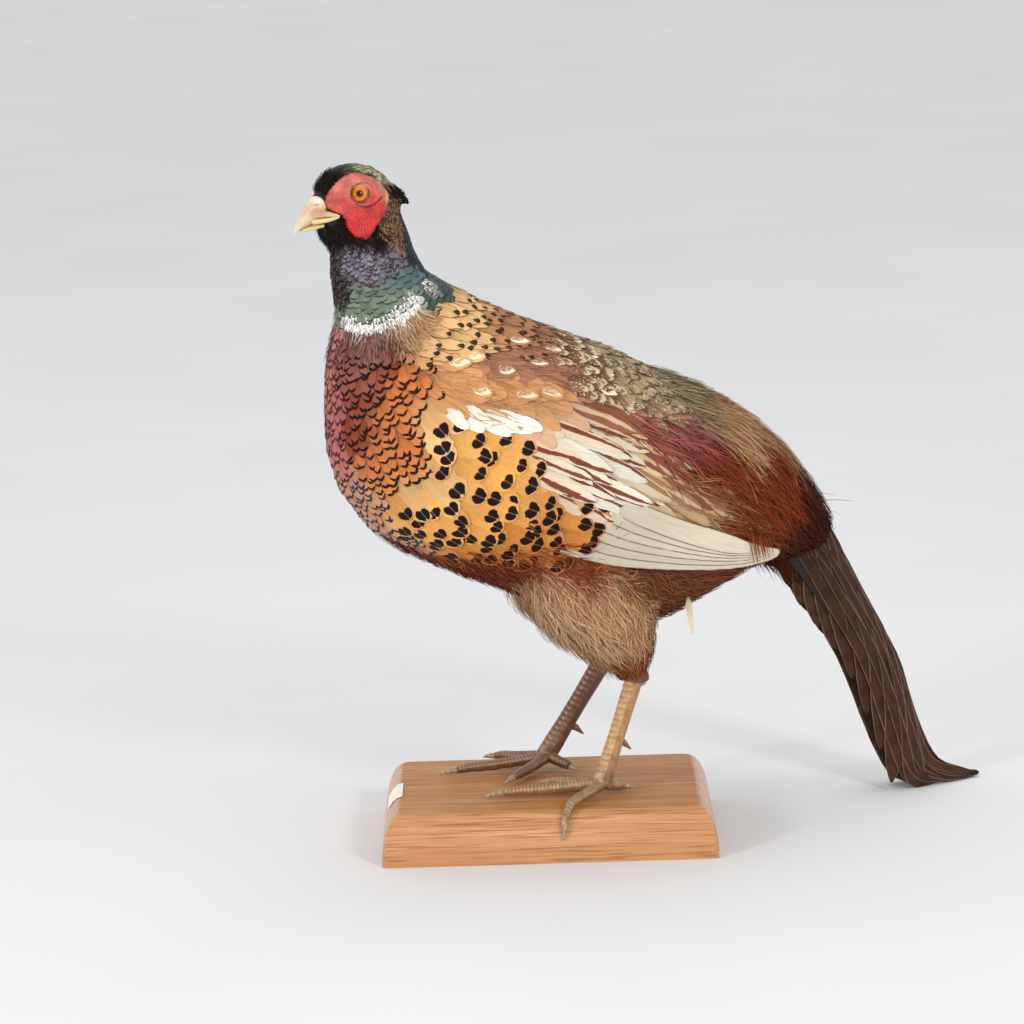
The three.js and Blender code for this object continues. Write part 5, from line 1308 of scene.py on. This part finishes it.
def lay(name, kind, roots, ground, mark):
    # lays one kind of feather from its roots
    size = kinds[kind]
    strands = size.get("strands", 1)
    tufted = strands > 1
    small = tufted or size.get("sides") == 4
    count = len(roots) * strands
    roots = np.repeat(roots, strands, 0)
    if tufted:
        roots = roots + rng.normal(0, size["gap"] * 0.25 * mm, roots.shape)
    places, facing = ontoSkin(roots)
    yaw = rng.normal(0, math.radians(size.get("fan", 6)), count)
    length = size["length"] * rng.uniform(0.8, 1.15, count)
    half = size["half"] * rng.uniform(0.85, 1.12, count)
    lift = size["lift"] * (0.2 + 0.95 * rng.random(count) ** 1.3 if tufted else rng.uniform(0.8, 1.2, count))
    stations = stationsOf(4 if tufted else 5 if small else 8)
    line, up, way = runAlong(places, facing, length, yaw, stations, size.get("stiff", 0.15))
    profile = dict(stations=stations, taper=size["taper"], round=1.3 if tufted else 2.0, point=0.06 if small else 0.1,
                   ragged=0.05 if small else 0.07, sunk=size.get("sunk", -0.3), rise=0.8)
    spread = size.get("varied", 0.32 if tufted else 0.2 if small else 0.09)
    shade = rng.uniform(1 - spread, 1 + spread, (count, 1)) * (1, 1, 1, 0) + (0, 0, 0, 1)
    colours = dict(ground=np.repeat(ground, strands, 0) * shade, mark=np.repeat(mark, strands, 0) * shade)
    return featherMesh(name, line, up, way, half, lift, profile, colours, unwrapOf(places), top=3 if small else 5,
                       hug=None if small else ontoSkin)


spots = scatter(340000)
tractNames, kindNames = list(tracts), list(kinds)
# a feather takes its kind and colours from the tract where most of it shows, further along than its root
here = toBird(spots)
lengthOf = np.array([kinds[tracts[n]["kind"]]["length"] for n in tractNames])
firstTract, _, _ = plumageAt(here)
shown = here + feathersPoint(here) * (lengthOf[firstTract] * 0.6)[:, None]
tractOf, groundAt, markAt = plumageAt(shown)
kindOf = np.array([kindNames.index(tracts[n]["kind"]) for n in tractNames])[tractOf]
wispy = [kindNames.index(k) for k in ("scapular", "back")]
featherLooks = {kind: featherMaterial(f"{kind}_barbs", looks[kind]) for kind in kindNames}
placed = ("bar", "crescent")  # these kinds are put in their places one by one
for number, kind in enumerate(kindNames):
    if kind in placed:
        continue
    mine = np.flatnonzero(np.isin(kindOf, wispy)) if kind == "wisp" else np.flatnonzero(kindOf == number)
    mine = mine[thinned(spots[mine], kinds[kind]["gap"])]
    onFace = toBird(spots[mine])[:, 2] > 360
    bare = np.array([near and isBare(p) for near, p in zip(onFace, spots[mine].tolist())], bool)
    mine = mine[~bare]
    for side, onSide in (("left", here[mine, 1] < 0), ("right", here[mine, 1] >= 0)):
        own = mine[onSide]
        piece = lay(f"{kind}_feathers_{side}", kind, spots[own], groundAt[own], markAt[own])
        finish(piece, featherLooks[kind])
        print(kind, side, len(own), "roots", len(piece.data.polygons) * 2, "triangles")

# The white shoulder bar, and the scapulars with a pale crescent near the tip: roots (x, |y|, z).
barRoots = [(x, 66 + (x + 100) / 5, 280 - 0.36 * (x + 97) + rise)
            for row, rise in enumerate((-1.8, 1.8)) for x in range(-106 + 4 * row, -66, 8)]
crescentRoots = [(-99, 51, 313), (-107, 55, 308), (-93, 66, 293), (-69, 70, 287), (-52, 68, 291), (-23, 60, 293),
                 (-10, 62, 288), (-18, 29, 310), (-53, 56, 305), (-74, 60, 300), (-30, 66, 290), (-36, 44, 312),
                 (-5, 55, 296), (-60, 44, 318), (0, 64, 276), (8, 60, 286), (-14, 45, 305)]
for kind, roots, mark in (("bar", barRoots, "#e6e0d6"), ("crescent", crescentRoots, "#e9dec6")):
    for side, sign in (("left", -1), ("right", 1)):
        places = np.array(roots, float) * (1, sign, 1)
        ground = plumageAt(places + (12, 0, -5))[1] if kind == "crescent" else flatColours(len(roots), "#ece5d8", mark)["ground"]
        piece = lay(f"{kind}_feathers_{side}", kind, toWorld(places), ground, flatColours(len(roots), mark, mark)["mark"])
        finish(piece, featherLooks[kind])
print("plumage laid")


# ---- long feathers: the folded primaries, the tail, and one loose feather

def alongLines(places, facing):
    # unit ways along lines of places, square to the facing
    way = np.gradient(places, axis=1)
    return unit(way - np.sum(way * facing, -1, keepdims=True) * facing)


primaries = dict(count=6, low=(-30, 187), high=(-12, 220), tip=(120, 167), shorter=5.0, higher=1.4, half=6.4, step=0.5,
                 along=[-40, 0, 42, 81, 116, 130], out=[69, 73, 71.5, 62.5, 45.5, 38], lean=0.16)


def makePrimaries(name, sign):
    # each vane lies over the one below it; the roots are under the flank and the wing
    stations = stationsOf(16)
    lines, ups = [], []
    for k in range(primaries["count"]):
        share = k / (primaries["count"] - 1)
        root = np.array(primaries["low"]) * (1 - share) + np.array(primaries["high"]) * share
        tip = np.array(primaries["tip"]) + (-primaries["shorter"] * k, primaries["higher"] * k)
        x = root[0] + (tip[0] - root[0]) * stations
        z = root[1] + (tip[1] - root[1]) * stations - 3.5 * np.sin(math.pi * stations)
        y = np.interp(x, primaries["along"], primaries["out"])
        for _ in range(6):
            y[1:-1] = (y[:-2] + y[2:] + y[1:-1] * 2) / 4
        y = y - primaries["lean"] * np.clip(205 - z, 0, 40) * np.clip((90 - x) / 60, 0, 1) - 1.2
        y = y + primaries["step"] * (k - primaries["count"] / 2) - 3.5 * np.clip((12 - x) / 30, 0, 1)
        slope = np.gradient(y, x)
        lines.append(np.stack([x, sign * y, z], 1))
        ups.append(unit(np.stack([-slope, np.full(len(x), float(sign)), np.full(len(x), -0.12)], 1) * (1, 1, 1)))
    lines, ups = toWorld(np.array(lines)), directionToWorld(np.array(ups))
    count = len(lines)
    profile = dict(stations=stations, taper=0.62, round=2.4, point=0.12, ragged=0.01, sunk=0.0, rise=1.0)
    return featherMesh(name, lines, ups, alongLines(lines, ups), np.full(count, primaries["half"]), np.full(count, 0.5),
                       profile, flatColours(count, "#d5c9b4", "#3c332a"), unwrapOf(lines[:, 0]), top=7)


# The tail's ridge and hems at six stations from the rump to the tip: (x, z) and half its width.
tailRows = dict(ridge=[(170, 178), (187, 141), (214, 93), (229, 45), (242, 13), (275, 3)],
                hem=[(131, 160), (153, 131), (182, 91), (202, 43), (216, 4), (273, 1)], half=[18, 18.5, 17.5, 15, 11.5, 2])


def tailPlace(s, t):
    # a place on the roof-shaped tail: s counts the stations, t goes from the ridge at 0 to the hems at -1 and 1
    rows = np.arange(6)
    before = np.minimum(s, 0)
    ux, uz = (np.interp(s, rows, [p[i] for p in tailRows["ridge"]]) for i in (0, 1))
    lx, lz = (np.interp(s, rows, [p[i] for p in tailRows["hem"]]) for i in (0, 1))
    half = np.interp(s, rows, tailRows["half"])
    deep = np.abs(t)
    bow = np.sin(math.pi / 2 * np.minimum(1, deep * 1.15)) ** 0.65
    reach = deep ** 1.15
    x, z = ux + (lx - ux) * reach, uz + (lz - uz) * reach
    return np.stack([x + 34 * before, np.sign(t) * half * bow, z - 24 * before], -1)


tailTree = treeOf(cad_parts["tail"].data)


def ontoTail(points):
    # the nearest places on the tail, and which way it faces there
    found = [tailTree.find_nearest(point) for point in points.tolist()]
    places, facing = (np.array([hit[i] for hit in found]) for i in (0, 1))
    # what hangs past the hem stays in the air
    free = np.clip((np.array([hit[3] for hit in found]) / mm - 1.5) / 2, 0, 1)[:, None]
    outward = toBird(points) * (0, 1, 0)
    outward = directionToWorld(unit(outward + (0, 0, 3)))
    return places * (1 - free) + points * free, unit(facing * (1 - free) + outward * free)


def tailLines(starts, ends, tFrom, tTo, bend, stations):
    # lines over the tail's roof with the way each place faces
    s = starts[:, None] + (ends - starts)[:, None] * stations[None]
    t = tFrom[:, None] + (tTo - tFrom)[:, None] * stations[None] ** bend[:, None]
    here = tailPlace(s, t)
    down = tailPlace(s + 0.05, t) - here
    across = tailPlace(s, t + 0.03) - tailPlace(s, t - 0.03)
    facing = unit(np.cross(across, down))
    here, facing = toWorld(here), directionToWorld(facing)
    onTail, _ = ontoTail(here.reshape(-1, 3))
    free = np.maximum(np.clip(-s / 0.25, 0, 1), np.clip((np.abs(t) - 0.9) / 0.1, 0, 1))[..., None]
    here = onTail.reshape(here.shape) * (1 - free) + here * free
    for _ in range(2):
        here[:, 1:-1] = (here[:, :-2] + here[:, 2:] + here[:, 1:-1] * 2) / 4
        facing[:, 1:-1] = unit(facing[:, :-2] + facing[:, 2:] + facing[:, 1:-1])
    return here, facing


# Where each tail feather ends along the hem, and how long it is, in stations of the tail; the shortest lie outermost.
tailFeathers = dict(tips=[4.5, 3.9, 3.35, 2.8, 2.3, 1.85, 1.45, 1.05], long=3.0, half=9.4, middleHalf=7.5, step=0.34, past=1.22)


def makeTail():
    stations = stationsOf(20)
    starts, ends, tFrom, tTo, lift, half, bend = [], [], [], [], [], [], []
    for sign in (-1, 1):
        for middle, end in ((0.12, 4.98), (0.3, 4.98), (0.48, 4.6), (0.66, 4.3)):
            starts.append(-0.3)
            ends.append(end)
            tFrom.append(sign * middle)
            tTo.append(sign * middle * 1.3)
            lift.append(0.5)
            half.append(tailFeathers["middleHalf"])
            bend.append(1.0)
        for k, tip in enumerate(tailFeathers["tips"]):
            starts.append(max(tip - tailFeathers["long"], -0.7))
            ends.append(tip)
            tFrom.append(sign * np.interp(tip, (1.0, 2.6), (0.45, 0.16)))
            tTo.append(sign * (tailFeathers["past"] if sign < 0 and tip < 4 else 0.97))
            lift.append(0.6 + tailFeathers["step"] * k)
            half.append(tailFeathers["half"] * (1 - 0.03 * abs(k - 4)))
            bend.append(1.7)
    lines, ups = tailLines(*(np.array(v, float) for v in (starts, ends, tFrom, tTo, bend)), stations)
    total = len(starts)
    profile = dict(stations=stations, taper=0.74, round=1.7, point=0.1, ragged=0.02, sunk=0.0, rise=0.5)
    lines = lines + ups * np.array(lift)[:, None, None] * mm
    return featherMesh("tail_feathers", lines, ups, alongLines(lines, ups), np.array(half), np.full(total, 0.5), profile,
                       flatColours(total, "#452b1e", "#77624c"), unwrapOf(lines[:, 0]), top=7, cup=0.35, thick=0.3)


def makeTailFringe():
    # loose reddish barbs along the ridge and the shafts
    along, over = 1000, 2200
    count = along + over
    starts = np.concatenate([rng.uniform(-0.2, 3.7, along), rng.uniform(-0.6, 0.2, over)])
    ends = starts + np.concatenate([rng.uniform(0.3, 0.65, along), rng.uniform(0.35, 0.85, over)])
    tFrom = np.concatenate([rng.normal(0, 0.13, along), rng.uniform(-1.1, 1.1, over)])
    tTo = tFrom + rng.normal(0, 0.08, count)
    stations = stationsOf(4)
    lines, ups = tailLines(starts, ends, tFrom, tTo, np.ones(count), stations)
    lift = np.where(np.arange(count) < along, 2.6, 4.6) * rng.random(count) ** 1.6
    profile = dict(stations=stations, taper=0.2, round=1.3, point=0.06, ragged=0.05, sunk=0.8, rise=1.2)
    colours = flatColours(count, "#5f2d18", "#3a1e12")
    for key, code in (("ground", "#4a2010"), ("mark", "#6d3015")):
        colours[key][along:] = np.array(linear(code)) * rng.uniform(0.6, 1.35, (over, 1))
    return featherMesh("tail_fringe", lines, ups, alongLines(lines, ups), np.full(count, 0.34), lift, profile, colours,
                       unwrapOf(lines[:, 0]), top=3)


def makeTailCore():
    core = shellOf("tail_underside", ["tail"], 1.1, 3)
    moveVertices(core, coordinates(core) - vertexFacing(core) * 1.9 * mm)
    places = toBird(coordinates(core))
    dark, grey = np.array(linear("#2c1b12")), np.array(linear("#3d2b20"))
    share = np.clip((places[:, 2] - 20) / 150, 0, 1)[:, None]
    putAttribute(core.data, "ground", "FLOAT_COLOR", grey + (dark - grey) * share)
    return core


strays = [((58, -44, 146), (60, -45, 124), 2.2, "#dccbad"), ((148, -20, 191), (181, -22, 189), 0.16, "#8a4a2c"),
          ((152, -18, 187), (172, -20, 181), 0.14, "#a0603c"), ((150, -16, 194), (170, -16, 193), 0.14, "#7c3f26")]
# rusty rump hairs fall across the primaries' ends
for step in range(16):
    x = 90 + 1.1 * step + rng.normal(0, 1)
    strays.append(((x, -60 + 0.5 * step, 186 - 0.4 * step), (x + 5, -57 + 0.5 * step, 166 + rng.normal(0, 2)), 0.35, "#8a4222"))


def makeStrays():
    # a pale feather hanging under the vent and a few hairs standing away from the rump
    stations = stationsOf(6)
    ends = np.array([[start, end] for start, end, _, _ in strays], float)
    lines = ends[:, :1] + (ends[:, 1:] - ends[:, :1]) * stations[None, :, None]
    lines[:, :, 2] -= np.sin(math.pi * stations) * -1.5
    ups = np.broadcast_to(np.array((0, -1, 0.2)) / 1.02, lines.shape)
    lines, ups = toWorld(lines), directionToWorld(ups)
    colours = dict(ground=np.array([linear(code) for *_, code in strays]), mark=np.array([linear(code) for *_, code in strays]))
    profile = dict(stations=stations, taper=0.5, round=1.6, point=0.08, ragged=0.05, sunk=0.0, rise=1.0)
    return featherMesh("stray_feathers", lines, ups, alongLines(lines, ups), np.array([half for *_, half, _ in strays]),
                       np.full(len(strays), 0.1), profile, colours, unwrapOf(lines[:, 0]), top=3)


primaryVane = featherMaterial("primary_barbs", looks["primary"])
tailVane = featherMaterial("tail_barbs", looks["tail"])
for side, sign in (("left", -1), ("right", 1)):
    finish(makePrimaries(f"primaries_{side}", sign), primaryVane, [f"flight_feathers_{side}"])
finish(makeTailCore(), skinMaterial(), ["tail"])
finish(makeTail(), tailVane)
finish(makeTailFringe(), featherMaterial("fringe_barbs", looks["rump"]))
finish(makeStrays(), featherMaterial("stray_barbs", looks["wisp"]))
print("long feathers made")
